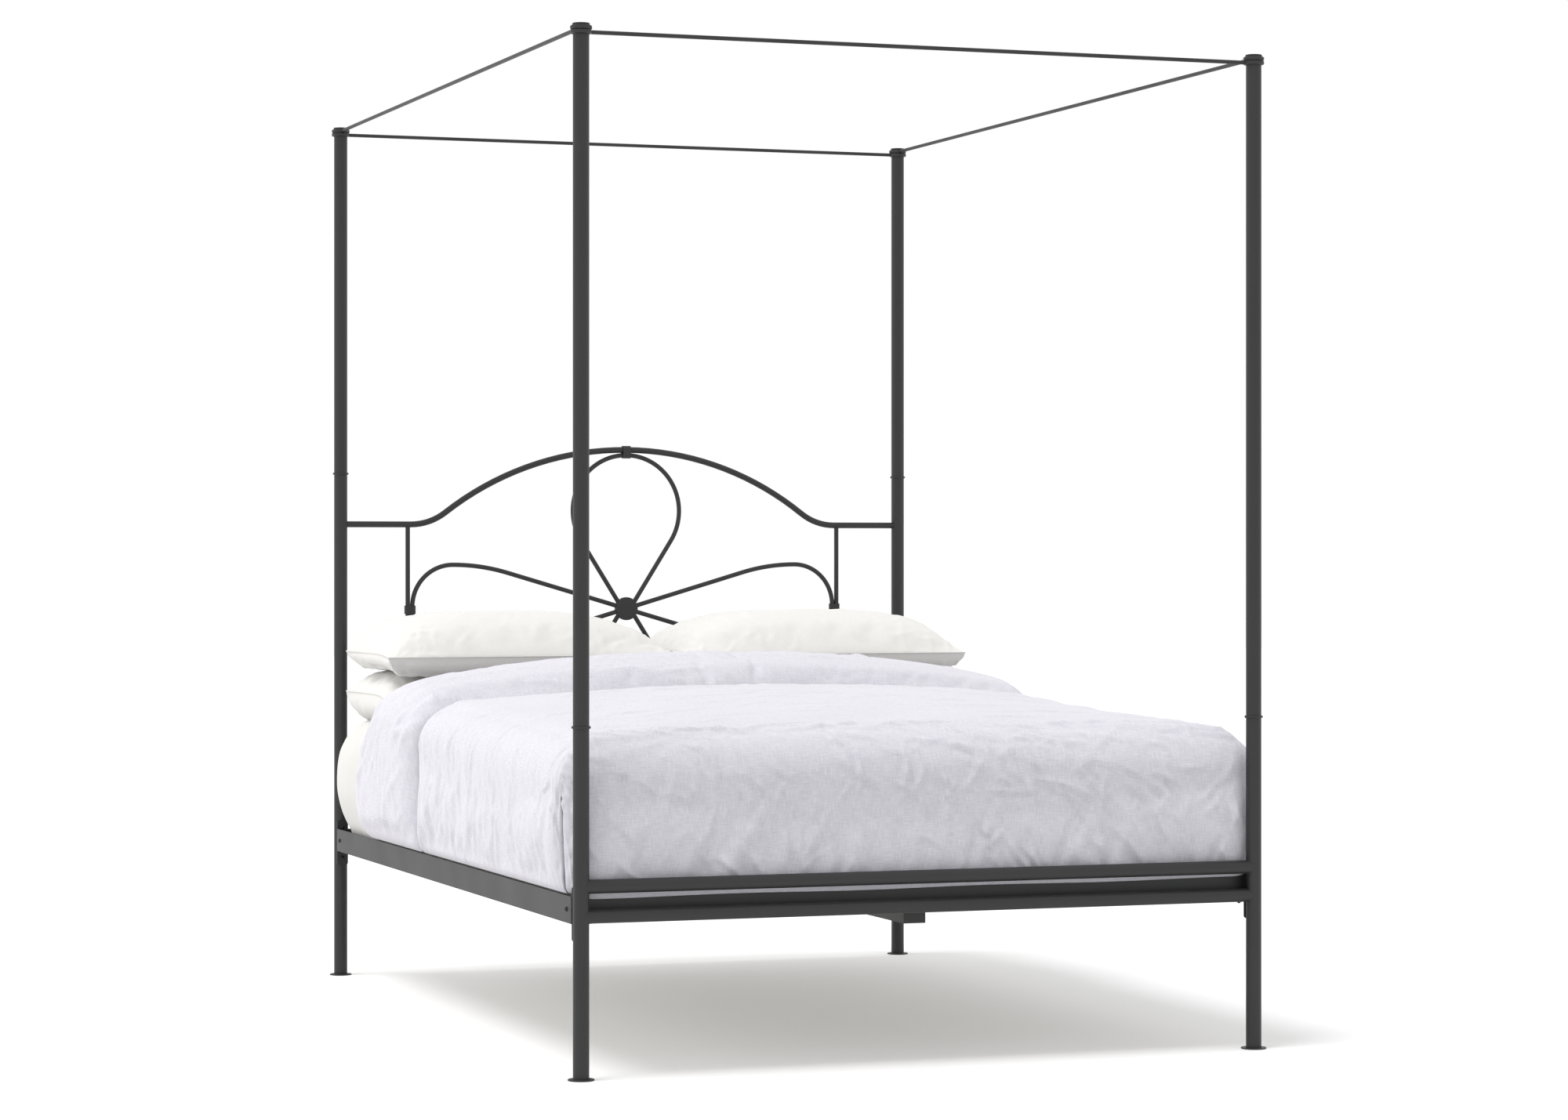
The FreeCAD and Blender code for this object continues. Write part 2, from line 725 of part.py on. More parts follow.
def make_fasteners():
    rail_bolts = []
    post_bolts = []
    crossbar_bolts = []
    nuts = []
    rail_grip = side_rail_thickness + bracket_thickness + nut_height + bolt_tip_length
    post_grip = bracket_thickness + post_bolt_grip
    ledge_grip = crossbar_thickness + side_rail_thickness + nut_height + bolt_tip_length
    beam_grip = crossbar_thickness + beam_wall + nut_height + bolt_tip_length
    seat_height = ledge_top_height + crossbar_thickness
    for end_name, end in ends:
        for side_name, side in sides:
            rail_seat = Vector(rail_outer_x, rail_bolt_y, rail_middle_height)
            rail_nut_seat = Vector(tab_inner_x, rail_bolt_y, rail_middle_height)
            rail_bolts.append(at_corner(bolt(rail_seat, across * -1, rail_grip), side, end))
            nuts.append(at_corner(nut(rail_nut_seat, across * -1), side, end))
            for height in post_bolt_heights:
                post_seat = Vector(post_x, bracket_inner_y, height)
                post_bolts.append(at_corner(bolt(post_seat, along, post_grip), side, end))
            ledge_seat = Vector(crossbar_bolt_x, crossbar_bolt_y, seat_height)
            ledge_nut_seat = Vector(crossbar_bolt_x, crossbar_bolt_y, side_rail_bottom_height)
            crossbar_bolts.append(at_corner(bolt(ledge_seat, upward * -1, ledge_grip), side, end))
            nuts.append(at_corner(nut(ledge_nut_seat, upward * -1), side, end))
        beam_seat = Vector(0, beam_bolt_y, seat_height)
        beam_nut_seat = Vector(0, beam_bolt_y, ledge_top_height - beam_wall)
        crossbar_bolts.append(at_corner(bolt(beam_seat, upward * -1, beam_grip), 1, end))
        nuts.append(at_corner(nut(beam_nut_seat, upward * -1), 1, end))
    group(rail_bolts, "rail_bolts")
    group(post_bolts, "post_bolts")
    group(crossbar_bolts, "crossbar_bolts")
    group(nuts, "frame_nuts")


# Mattress

def rounded_outline(half_width, half_length, radius, height):
    """A rectangle with round corners, centred on the origin, as one closed wire."""
    bevel = radius * (1 - math.sqrt(0.5))
    edges = []
    starts = []
    for side, end in ((1, 1), (-1, 1), (-1, -1), (1, -1)):
        across_point = Vector(side * half_width, end * (half_length - radius), height)
        corner_point = Vector(side * (half_width - bevel), end * (half_length - bevel), height)
        along_point = Vector(side * (half_width - radius), end * half_length, height)
        points = [across_point, corner_point, along_point]
        if side * end < 0:
            points.reverse()
        starts.append(points)
    for number, points in enumerate(starts):
        edges.append(arc(*points))
        edges.append(line(points[2], starts[(number + 1) % len(starts)][0]))
    return Part.Wire(edges)


def mattress_half(height_shares, inset_shares, outset):
    """The upper or the lower half of the mattress, grown by an outset."""
    wires = []
    for height_share, inset_share in zip(height_shares, inset_shares):
        inset = inset_share * mattress_edge_inset - outset
        wires.append(rounded_outline(
            mattress_width / 2 - inset, mattress_length / 2 - inset, mattress_corner_radius - inset,
            mattress_base_height + height_share * mattress_height + outset,
        ))
    return Part.makeLoft(wires, True, False)


def make_mattress():
    lower = mattress_half(mattress_lower_shares, mattress_lower_inset_shares, 0)
    upper = mattress_half(mattress_upper_shares, mattress_upper_inset_shares, 0)
    save(lower.fuse(upper), "mattress")


def duvet_cavity():
    """The room for the mattress inside the duvet, straight below its middle so that the duvet lifts off."""
    upper = mattress_half(mattress_upper_shares, mattress_upper_inset_shares, duvet_clearance)
    widest = max(upper.Faces, key=lambda face: -face.CenterOfMass.z)
    return upper.fuse(widest.extrude(upward * (-mattress_height / 2 - cut_overrun)))


# Duvet

def duvet_section(length_share, loft_share, draw_share, crown_share):
    """One cross-section of the duvet: hanging sides, round top corners and a crowned top."""
    y = length_share * duvet_length - duvet_foot_y
    top_height = mattress_top_height + loft_share * duvet_loft
    half_width = duvet_half_width - draw_share * duvet_draw_in
    hem_half_width = half_width - duvet_hem_tuck
    edge_height = top_height - crown_share * duvet_crown_drop
    side_top = edge_height - duvet_corner_radius
    side_middle = (duvet_hem_height + side_top) / 2
    bulge_x = half_width - duvet_side_bulge_share * duvet_hem_tuck
    bevel = duvet_corner_radius * (1 - math.sqrt(0.5))

    def place(x, height):
        return Vector(x, y, height)

    def side_points(side):
        return [
            place(side * hem_half_width, duvet_hem_height),
            place(side * bulge_x, side_middle),
            place(side * half_width, side_top),
            place(side * (half_width - bevel), edge_height - bevel),
            place(side * (half_width - duvet_corner_radius), edge_height),
        ]

    right = side_points(1)
    left = side_points(-1)
    return Part.Wire([
        line(left[0], right[0]),
        arc(right[0], right[1], right[2]),
        arc(right[2], right[3], right[4]),
        arc(right[4], place(0, top_height), left[4]),
        arc(left[4], left[3], left[2]),
        arc(left[2], left[1], left[0]),
    ])


def duvet_shares_at(length_share):
    """The shares of a cross-section between two of those listed, eased from one to the next."""
    pairs = zip(duvet_body_shares, duvet_body_shares[1:])
    before, after = next(pair for pair in pairs if length_share <= pair[1][0])
    mix = (length_share - before[0]) / (after[0] - before[0])
    eased = mix * mix * (3 - 2 * mix)
    return [length_share] + [old + eased * (new - old) for old, new in zip(before[1:], after[1:])]


def make_duvet():
    foot_sections = [duvet_section(*shares) for shares in duvet_foot_shares]
    first_share = duvet_body_shares[0][0]
    last_share = duvet_body_shares[-1][0]
    body_sections = []
    for number in range(duvet_section_count + 1):
        mix = number / duvet_section_count
        body_sections.append(duvet_section(*duvet_shares_at(first_share * (1 - mix) + last_share * mix)))
    duvet = Part.makeLoft(foot_sections, True, False).fuse(Part.makeLoft(body_sections, True, False))
    duvet = duvet.cut(duvet_cavity())

    # The head end of the roll is round where it comes down on the mattress
    sky = mattress_top_height + 2 * duvet_loft
    rear = duvet_head_edge + duvet_roll_depth
    roll_foot = Vector(-mattress_width, duvet_head_edge, mattress_top_height)
    roll_bow = roll_foot + Vector(
        0, -duvet_roll_bow_shares[0] * duvet_roll_depth, duvet_roll_bow_shares[1] * duvet_roll_height
    )
    roll_crest = roll_foot + Vector(0, -duvet_roll_depth, duvet_roll_height)
    crest_sky = Vector(-mattress_width, roll_crest.y, sky)
    rear_sky = Vector(-mattress_width, rear, sky)
    rear_foot = Vector(-mattress_width, rear, mattress_top_height)
    outside = Part.Wire([
        arc(roll_foot, roll_bow, roll_crest),
        line(roll_crest, crest_sky),
        line(crest_sky, rear_sky),
        line(rear_sky, rear_foot),
        line(rear_foot, roll_foot),
    ])
    duvet = duvet.cut(Part.Face(outside).extrude(across * (2 * mattress_width)))
    save(duvet, "duvet")


# Pillows

def pillow_outline(inset, draw, radius, height):
    """A rectangle whose sides draw in between its corners."""
    half_width = pillow_width / 2 - inset
    half_depth = pillow_depth / 2 - inset
    bevel = radius * (1 - math.sqrt(0.5))
    corners = []
    for side, end in ((1, 1), (-1, 1), (-1, -1), (1, -1)):
        points = [
            Vector(side * half_width, end * (half_depth - radius), height),
            Vector(side * (half_width - bevel), end * (half_depth - bevel), height),
            Vector(side * (half_width - radius), end * half_depth, height),
        ]
        if side * end < 0:
            points.reverse()
        corners.append(points)
    middles = [
        Vector(0, half_depth - draw, height),
        Vector(draw - half_width, 0, height),
        Vector(0, draw - half_depth, height),
        Vector(half_width - draw, 0, height),
    ]
    edges = []
    for number, points in enumerate(corners):
        edges.append(arc(*points))
        edges.append(arc(points[2], middles[number], corners[(number + 1) % len(corners)][0]))
    return Part.Wire(edges)


def make_pillow(node, x, y, base_height):
    """Two crowned faces that meet in a seam at mid-height."""
    faces = []
    for up in (-1, 1):
        wires = []
        for level_share, inset_share in zip(pillow_level_shares, pillow_inset_shares):
            wires.append(pillow_outline(
                inset_share * pillow_crown_inset,
                pillow_side_draw + level_share * (pillow_crown_draw - pillow_side_draw),
                pillow_corner_radius + level_share * (pillow_crown_radius - pillow_corner_radius),
                up * level_share * pillow_thickness / 2,
            ))
        faces.append(Part.makeLoft(wires, True, False))
    pillow = faces[0].fuse(faces[1])
    pillow.translate(Vector(x, y, base_height + pillow_thickness / 2))
    save(pillow, node)


def make_bedding():
    make_mattress()
    make_duvet()
    pillow_y = pillow_front + pillow_depth / 2
    lower_base = mattress_top_height + seat_gap
    upper_base = lower_base + pillow_thickness + seat_gap
    for side_name, side in sides:
        make_pillow("pillow_lower_" + side_name, side * pillow_x, pillow_y, lower_base)
        make_pillow("pillow_upper_" + side_name, side * pillow_x, pillow_y, upper_base)


os.makedirs("parts", exist_ok=True)

studs = []
for end_name, end in ends:
    for side_name, side in sides:
        make_post(side_name, side, end_name, end)
        make_bracket(side_name, side, end_name, end)
        studs.append(make_stud(side * post_x, end * post_y))
group(studs, "post_top_studs")

for end_name, end in ends:
    make_canopy_rail(
        Vector(-post_x, end * post_y, canopy_lower_height),
        Vector(post_x, end * post_y, canopy_lower_height),
        "canopy_rail_" + end_name,
    )
    make_crossbar(end_name, end)
for side_name, side in sides:
    make_canopy_rail(
        Vector(side * post_x, -post_y, canopy_upper_height),
        Vector(side * post_x, post_y, canopy_upper_height),
        "canopy_rail_" + side_name,
    )
    make_side_rail(side_name, side)

make_headboard()
make_foot_rail("foot_rail_upper", foot_rail_upper_height)
make_foot_rail("foot_rail_lower", foot_rail_lower_height)
make_beam()
make_slats()
make_fasteners()
make_bedding()
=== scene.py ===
import math

import bmesh
import bpy
import numpy as np
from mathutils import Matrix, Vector, noise


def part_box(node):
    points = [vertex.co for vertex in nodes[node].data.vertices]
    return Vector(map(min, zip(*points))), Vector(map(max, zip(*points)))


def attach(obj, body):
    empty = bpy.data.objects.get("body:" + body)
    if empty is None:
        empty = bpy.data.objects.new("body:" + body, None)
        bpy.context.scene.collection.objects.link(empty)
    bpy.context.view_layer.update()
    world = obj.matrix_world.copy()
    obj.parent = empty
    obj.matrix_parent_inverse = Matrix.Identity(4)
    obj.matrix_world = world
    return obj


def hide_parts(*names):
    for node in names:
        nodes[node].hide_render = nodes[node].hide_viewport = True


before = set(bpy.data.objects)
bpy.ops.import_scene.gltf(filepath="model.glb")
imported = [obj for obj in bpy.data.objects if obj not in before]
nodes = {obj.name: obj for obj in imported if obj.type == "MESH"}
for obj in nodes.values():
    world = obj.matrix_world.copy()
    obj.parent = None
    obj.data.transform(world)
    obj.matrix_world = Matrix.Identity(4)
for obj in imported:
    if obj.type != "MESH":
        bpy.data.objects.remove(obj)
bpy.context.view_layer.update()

# Steel frame: posts, canopy rods, headboard, foot rails, side rails and base irons.
# Round steel tube, bent rod and angle, welded into two ends and bolted together at the corners.
# All of it is sprayed with black polyester powder and baked.
COAT_DARK = "#1c1c1d"
COAT_LIGHT = "#272728"
COAT_ROUGHNESS = (0.42, 0.56)
COAT_CLOUD_WIDTH = 0.16
COAT_PEEL_WIDTH = 0.0026
COAT_PEEL_DEPTH = 0.0004
BEDDING = (
    "mattress", "duvet",
    "pillow_lower_left", "pillow_lower_right", "pillow_upper_left", "pillow_upper_right",
)


def linear(code):
    """A colour given as an sRGB hex code, in the linear values that shaders take."""
    parts = [int(code[i:i + 2], 16) / 255 for i in (1, 3, 5)]
    return [p / 12.92 if p <= 0.04045 else ((p + 0.055) / 1.055) ** 2.4 for p in parts] + [1.0]


def add(tree, kind, settings=None, links=None):
    """Adds one shader node, with its settings by attribute or socket name and its incoming links."""
    node = tree.nodes.new("ShaderNode" + kind)
    for name, value in (settings or {}).items():
        if name in node.inputs.keys() or isinstance(name, int):
            node.inputs[name].default_value = value
        else:
            setattr(node, name, value)
    for name, source in (links or {}).items():
        tree.links.new(source, node.inputs[name])
    return node


def empty_material(name):
    material = bpy.data.materials.new(name)
    material.use_nodes = True
    material.node_tree.nodes.clear()
    return material, material.node_tree


def dress(obj, material):
    obj.data.materials.clear()
    obj.data.materials.append(material)


# Satin polyester powder coat, sprayed and baked. The eye gets a soft dark grey sheen, broken up by a
# fine orange peel, and slight clouding along the long tubes.
powder_coat, tree = empty_material("satin_black_powder_coat")
place = add(tree, "TexCoord")
cloud = add(
    tree, "TexNoise", {"Scale": 1 / COAT_CLOUD_WIDTH, "Detail": 3.0}, {"Vector": place.outputs["Object"]}
)
peel = add(
    tree, "TexNoise", {"Scale": 1 / COAT_PEEL_WIDTH, "Detail": 2.0}, {"Vector": place.outputs["Object"]}
)
colour = add(
    tree, "MixRGB", {"Color1": linear(COAT_DARK), "Color2": linear(COAT_LIGHT)}, {"Fac": cloud.outputs["Fac"]}
)
gloss = add(
    tree, "MapRange", {"To Min": COAT_ROUGHNESS[0], "To Max": COAT_ROUGHNESS[1]},
    {"Value": cloud.outputs["Fac"]},
)
skin = add(tree, "Bump", {"Strength": 0.22, "Distance": COAT_PEEL_DEPTH}, {"Height": peel.outputs["Fac"]})
shader = add(
    tree, "BsdfPrincipled", {"IOR": 1.5, "Specular IOR Level": 0.45},
    {
        "Base Color": colour.outputs["Color"],
        "Roughness": gloss.outputs["Result"],
        "Normal": skin.outputs["Normal"],
    },
)
add(tree, "OutputMaterial", links={"Surface": shader.outputs["BSDF"]})

# The coat goes on every hard part. Glides, bolts and slats get their own finish in their sections.
for node_name, obj in nodes.items():
    if node_name not in BEDDING:
        dress(obj, powder_coat)

# Glides: discs under the posts that keep the tube ends off the floor.
# Injection-moulded nylon with a flange and a plug that is driven into the tube.
NYLON = "#1b1b1c"
NYLON_WORN = "#2a2a2a"
NYLON_SCUFF_WIDTH = 0.02
NYLON_SPARK_WIDTH = 0.0009
NYLON_SPARK_DEPTH = 0.0003

# Black nylon from a spark-eroded mould. The eye gets a dull, faintly pebbled black with paler scuffs.
# The pebbles are drawn several times as wide as the mould's own, so that they show.
moulded_nylon, tree = empty_material("moulded_black_nylon")
place = add(tree, "TexCoord")
spark = add(
    tree, "TexNoise", {"Scale": 1 / NYLON_SPARK_WIDTH, "Detail": 1.0}, {"Vector": place.outputs["Object"]}
)
scuff = add(
    tree, "TexNoise", {"Scale": 1 / NYLON_SCUFF_WIDTH, "Detail": 6.0}, {"Vector": place.outputs["Object"]}
)
colour = add(
    tree, "MixRGB", {"Color1": linear(NYLON), "Color2": linear(NYLON_WORN)}, {"Fac": scuff.outputs["Fac"]}
)
skin = add(tree, "Bump", {"Strength": 0.25, "Distance": NYLON_SPARK_DEPTH}, {"Height": spark.outputs["Fac"]})
shader = add(
    tree, "BsdfPrincipled", {"IOR": 1.53, "Roughness": 0.55},
    {"Base Color": colour.outputs["Color"], "Normal": skin.outputs["Normal"]},
)
add(tree, "OutputMaterial", links={"Surface": shader.outputs["BSDF"]})
for node_name, obj in nodes.items():
    if node_name.startswith("glide_"):
        dress(obj, moulded_nylon)

# Beam plugs: caps that close the open ends of the centre beam.
# Moulded in the same black nylon as the glides, and pushed into the tube.
PLUG_LIP = 0.002
PLUG_EDGE = 0.0008

low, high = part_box("centre_beam")
for end, face in (("foot", low.y), ("head", high.y)):
    bpy.ops.mesh.primitive_cube_add(size=1.0)
    plug = bpy.context.object
    plug.name = "beam_plug_" + end
    out = math.copysign(PLUG_LIP, face)
    middle = Vector(((low.x + high.x) / 2, face + out / 2, (low.z + high.z) / 2))
    for vertex in plug.data.vertices:
        vertex.co = middle + vertex.co * Vector((high.x - low.x, PLUG_LIP, high.z - low.z))
    rounded = plug.modifiers.new("rounded", "BEVEL")
    rounded.width = PLUG_EDGE
    rounded.segments = 2
    dress(plug, moulded_nylon)
    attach(plug, "frame")

# Bolts and nuts: M6 button-head screws with hexagon sockets, and plain hexagon nuts.
# Cold-headed steel, blackened in a hot oxide bath.
# They pull the side rails and brackets to the posts, and the crossbars to the rails and the centre beam.
OXIDE_DARK = "#1d1d1f"
OXIDE_LIGHT = "#39393b"
OXIDE_ROUGHNESS = (0.3, 0.5)
OXIDE_GRAIN_WIDTH = 0.004
HEAD_RADIUS = 0.0055
HEAD_HEIGHT = 0.0035
HEAD_RIM = 0.0002
HEAD_UNDERCUT_SHARE = 0.98
HEAD_SIDES = 36
DOME_STEPS = 7
DOME_END_ANGLE = 1.15
SOCKET_FLAT = 0.0020
SOCKET_DEPTH = 0.0019
SHANK_RADIUS = 0.003
TIP_SHARE = 0.8
TIP_CHAMFER = 0.0008
RAIL_GRIP = 0.014
POST_GRIP = 0.013
BRACKET_PLATE = 0.004
SHARP_EDGE = math.radians(40)

# Steel with a black oxide skin. The eye gets a dark, slightly mottled metal with soft glints on its edges.
black_oxide, tree = empty_material("black_oxide_steel")
place = add(tree, "TexCoord")
grain = add(
    tree, "TexNoise", {"Scale": 1 / OXIDE_GRAIN_WIDTH, "Detail": 4.0}, {"Vector": place.outputs["Object"]}
)
colour = add(
    tree, "MixRGB", {"Color1": linear(OXIDE_DARK), "Color2": linear(OXIDE_LIGHT)},
    {"Fac": grain.outputs["Fac"]},
)
gloss = add(
    tree, "MapRange", {"To Min": OXIDE_ROUGHNESS[0], "To Max": OXIDE_ROUGHNESS[1]},
    {"Value": grain.outputs["Fac"]},
)
shader = add(
    tree, "BsdfPrincipled", {"Metallic": 0.7},
    {"Base Color": colour.outputs["Color"], "Roughness": gloss.outputs["Result"]},
)
add(tree, "OutputMaterial", links={"Surface": shader.outputs["BSDF"]})


def socket_radius(turn):
    """How far the wall of the hexagon socket is from its axis."""
    sixth = math.radians(60)
    return SOCKET_FLAT / math.cos((turn % sixth) - sixth / 2)


def screw_profile(grip):
    """Heights and radii of the round rings of one screw, from its tip to the top of its dome."""
    profile = [
        (-grip, SHANK_RADIUS * TIP_SHARE),
        (-grip + TIP_CHAMFER, SHANK_RADIUS),
        (0.0, SHANK_RADIUS),
        (0.0, HEAD_RADIUS * HEAD_UNDERCUT_SHARE),
    ]
    for angle in np.linspace(0.0, DOME_END_ANGLE, DOME_STEPS):
        profile.append((HEAD_RIM + HEAD_HEIGHT * math.sin(angle), HEAD_RADIUS * math.cos(angle)))
    return profile


def add_screw(mesh, seat, out, grip):
    """Adds a screw whose head stands on the seat and faces out."""
    side = out.orthogonal().normalized()
    other = out.cross(side)
    turns = [2 * math.pi * i / HEAD_SIDES for i in range(HEAD_SIDES)]
    rings = [(height, [radius] * HEAD_SIDES) for height, radius in screw_profile(grip)]
    top = rings[-1][0]
    socket = [socket_radius(turn) for turn in turns]
    rings += [(top, socket), (top - SOCKET_DEPTH, socket)]
    loops = []
    for height, radii in rings:
        centre = seat + out * height
        loops.append([
            mesh.verts.new(centre + (side * math.cos(turn) + other * math.sin(turn)) * radius)
            for turn, radius in zip(turns, radii)
        ])
    for below, above in zip(loops, loops[1:]):
        for i in range(HEAD_SIDES):
            j = (i + 1) % HEAD_SIDES
            mesh.faces.new((below[i], below[j], above[j], above[i]))
    mesh.faces.new(loops[0][::-1])
    mesh.faces.new(loops[-1])


def make_screws(name, node, places, grip):
    mesh = bmesh.new()
    for seat, out in places:
        add_screw(mesh, seat, out, grip)
    bmesh.ops.recalc_face_normals(mesh, faces=mesh.faces)
    data = bpy.data.meshes.new(name)
    mesh.to_mesh(data)
    mesh.free()
    obj = bpy.data.objects.new(name, data)
    bpy.context.scene.collection.objects.link(obj)
    data.shade_smooth()
    data.set_sharp_from_angle(angle=SHARP_EDGE)
    dress(obj, black_oxide)
    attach(obj, "frame")
    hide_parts(node)


low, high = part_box("rail_bolts")
rail_z = (low.z + high.z) / 2
rail_seats = [
    (Vector((sx * (high.x - HEAD_HEIGHT), sy * (high.y - HEAD_RADIUS), rail_z)), Vector((sx, 0, 0)))
    for sx in (-1, 1) for sy in (-1, 1)
]
make_screws("rail_screws", "rail_bolts", rail_seats, RAIL_GRIP)

low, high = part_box("post_bolts")
plate_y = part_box("corner_bracket_head_right")[1].y - BRACKET_PLATE
post_seats = [
    (Vector((sx * (high.x - HEAD_RADIUS), sy * plate_y, z)), Vector((0, -sy, 0)))
    for sx in (-1, 1) for sy in (-1, 1) for z in (low.z + HEAD_RADIUS, high.z - HEAD_RADIUS)
]
make_screws("post_screws", "post_bolts", post_seats, POST_GRIP)
for node_name in ("crossbar_bolts", "frame_nuts"):
    dress(nodes[node_name], black_oxide)

# Slats: boards that lie loose on the rails' ledges and carry the mattress.
# Planed softwood with eased edges, left without a finish.
PINE_PALE = "#d3ccbf"
PINE_DARK = "#b8ae9d"
PINE_RING_WIDTH = 0.011
PINE_FIBRE_WIDTH = 0.0012
PINE_FIBRE_DEPTH = 0.0005
PINE_STRETCH = (0.06, 1.0, 1.0)
SLAT_EDGE = 0.002

# Flat-sawn pine, planed. The eye gets pale boards with long, wavy, slightly darker grain and a dry surface.
# The rings are drawn about three times as wide as they grow, so that they show.
planed_pine, tree = empty_material("planed_pine")
place = add(tree, "TexCoord")
stretch = add(tree, "Mapping", {"Scale": PINE_STRETCH}, {"Vector": place.outputs["Object"]})
grain = add(
    tree, "TexNoise", {"Scale": 1 / PINE_RING_WIDTH, "Detail": 5.0, "Distortion": 1.2},
    {"Vector": stretch.outputs["Vector"]},
)
fibre = add(
    tree, "TexNoise", {"Scale": 1 / PINE_FIBRE_WIDTH, "Detail": 2.0}, {"Vector": stretch.outputs["Vector"]}
)
colour = add(
    tree, "MixRGB", {"Color1": linear(PINE_PALE), "Color2": linear(PINE_DARK)}, {"Fac": grain.outputs["Fac"]}
)
skin = add(tree, "Bump", {"Strength": 0.2, "Distance": PINE_FIBRE_DEPTH}, {"Height": fibre.outputs["Fac"]})
shader = add(
    tree, "BsdfPrincipled", {"Roughness": 0.62, "IOR": 1.5},
    {"Base Color": colour.outputs["Color"], "Normal": skin.outputs["Normal"]},
)
add(tree, "OutputMaterial", links={"Surface": shader.outputs["BSDF"]})
dress(nodes["slats"], planed_pine)
eased = nodes["slats"].modifiers.new("eased_edges", "BEVEL")
eased.width = SLAT_EDGE
eased.segments = 2

# Mattress: foam and springs in a ticking, covered by a white fitted sheet.
# Cotton percale, pulled tight over the top and the sides, with its elastic edge under the mattress.
# The head end, with no duvet to hold it, swells out past the rails.
SHEET_WHITE = "#c5c4c1"
SHEET_SHADE = "#bbb9b4"
SHEET_THREAD = 0.0016
SHEET_VOXEL = 0.014
SHEET_SMOOTHING = 6
PUCKER_DEPTH = 0.0022
PUCKER_SIZE = (0.034, 0.034, 0.16)
PUCKER_FADE = 1.5
RIPPLE_DEPTH = 0.0018
RIPPLE_SIZE = (0.2, 0.3, 0.3)
HEAD_BULGE = 0.020
BULGE_FROM = 0.70
BULGE_FULL = 0.86
BULGE_BASE_SHARE = 0.13
BULGE_ROUNDNESS = 0.8
THREAD_STRETCH = 0.09
CLOTH_CLOUD_WIDTH = 0.24
CLOTH_CLOUD_SHARE = 0.35
CLOTH_RELIEF = 0.0007


def woven(name, pale, shade, thread, slub, coordinates, sheen):
    """A woven cloth: threads across and along, with thicker slubs that run along each of them."""
    material, tree = empty_material(name)
    place = add(tree, "TexCoord")
    vector = place.outputs[coordinates]
    across = add(tree, "Mapping", {"Scale": (THREAD_STRETCH, 1.0, 1.0)}, {"Vector": vector})
    along = add(tree, "Mapping", {"Scale": (1.0, THREAD_STRETCH, 1.0)}, {"Vector": vector})
    weft = add(tree, "TexNoise", {"Scale": 1 / thread, "Detail": 2.0}, {"Vector": across.outputs["Vector"]})
    warp = add(tree, "TexNoise", {"Scale": 1 / thread, "Detail": 2.0}, {"Vector": along.outputs["Vector"]})
    cloth = add(tree, "Math", {"operation": "ADD"}, {0: weft.outputs["Fac"], 1: warp.outputs["Fac"]})
    cloud = add(tree, "TexNoise", {"Scale": 1 / CLOTH_CLOUD_WIDTH, "Detail": 4.0}, {"Vector": vector})
    tint = add(
        tree, "MapRange", {"From Min": 0.7, "From Max": 1.3, "To Min": 0.0, "To Max": slub},
        {"Value": cloth.outputs["Value"]},
    )
    tone = add(
        tree, "Math", {"operation": "MULTIPLY_ADD", 1: CLOTH_CLOUD_SHARE},
        {0: cloud.outputs["Fac"], 2: tint.outputs["Result"]},
    )
    colour = add(
        tree, "MixRGB", {"Color1": linear(pale), "Color2": linear(shade)}, {"Fac": tone.outputs["Value"]}
    )
    skin = add(tree, "Bump", {"Strength": 0.35, "Distance": CLOTH_RELIEF}, {"Height": cloth.outputs["Value"]})
    shader = add(
        tree, "BsdfPrincipled",
        {"Roughness": 0.88, "Specular IOR Level": 0.22, "Sheen Weight": sheen, "Sheen Roughness": 0.5},
        {"Base Color": colour.outputs["Color"], "Normal": skin.outputs["Normal"]},
    )
    add(tree, "OutputMaterial", links={"Surface": shader.outputs["BSDF"]})
    return material


def coordinates_of(mesh):
    values = np.empty(len(mesh.vertices) * 3)
    mesh.vertices.foreach_get("co", values)
    return values.reshape(-1, 3)


def normals_of(mesh):
    values = np.empty(len(mesh.vertices) * 3)
    mesh.vertex_normals.foreach_get("vector", values)
    return values.reshape(-1, 3)


def move_to(mesh, places):
    mesh.vertices.foreach_set("co", places.astype(np.float32).ravel())
    mesh.update()


def finished(obj):
    """Works the object's modifiers into its mesh."""
    graph = bpy.context.evaluated_depsgraph_get()
    mesh = bpy.data.meshes.new_from_object(obj.evaluated_get(graph))
    obj.modifiers.clear()
    obj.data = mesh
    mesh.shade_smooth()


def subdivide(obj):
    smooth = obj.modifiers.new("smooth", "SUBSURF")
    smooth.levels = 1
    smooth.render_levels = 1
    finished(obj)


def waves_at(points, size):
    """A smooth random wave at each point, from about -1 to 1, as long along each axis as the size says."""
    return np.array([noise.noise(Vector(point)) for point in points / np.array(size)])


# Cotton percale, a tight plain weave. The eye gets a matt, even warm white with the faintest thread.
# Here and on the other cloths the threads are drawn several times as wide as real ones, so that they show.
cotton_percale = woven("cotton_percale", SHEET_WHITE, SHEET_SHADE, SHEET_THREAD, 0.2, "Object", 0.12)
mattress = bpy.data.objects.new("mattress_in_sheet", nodes["mattress"].data.copy())
bpy.context.scene.collection.objects.link(mattress)
even = mattress.modifiers.new("even", "REMESH")
even.mode = "VOXEL"
even.voxel_size = SHEET_VOXEL
soften = mattress.modifiers.new("soften", "SMOOTH")
soften.iterations = SHEET_SMOOTHING
finished(mattress)
subdivide(mattress)
low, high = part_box("mattress")
points = coordinates_of(mattress.data)
outward = normals_of(mattress.data)
rise = np.clip((points[:, 2] - low.z) / (high.z - low.z), 0.0, 1.0)
pucker = PUCKER_DEPTH * waves_at(points, PUCKER_SIZE) * (1.0 - rise) ** PUCKER_FADE
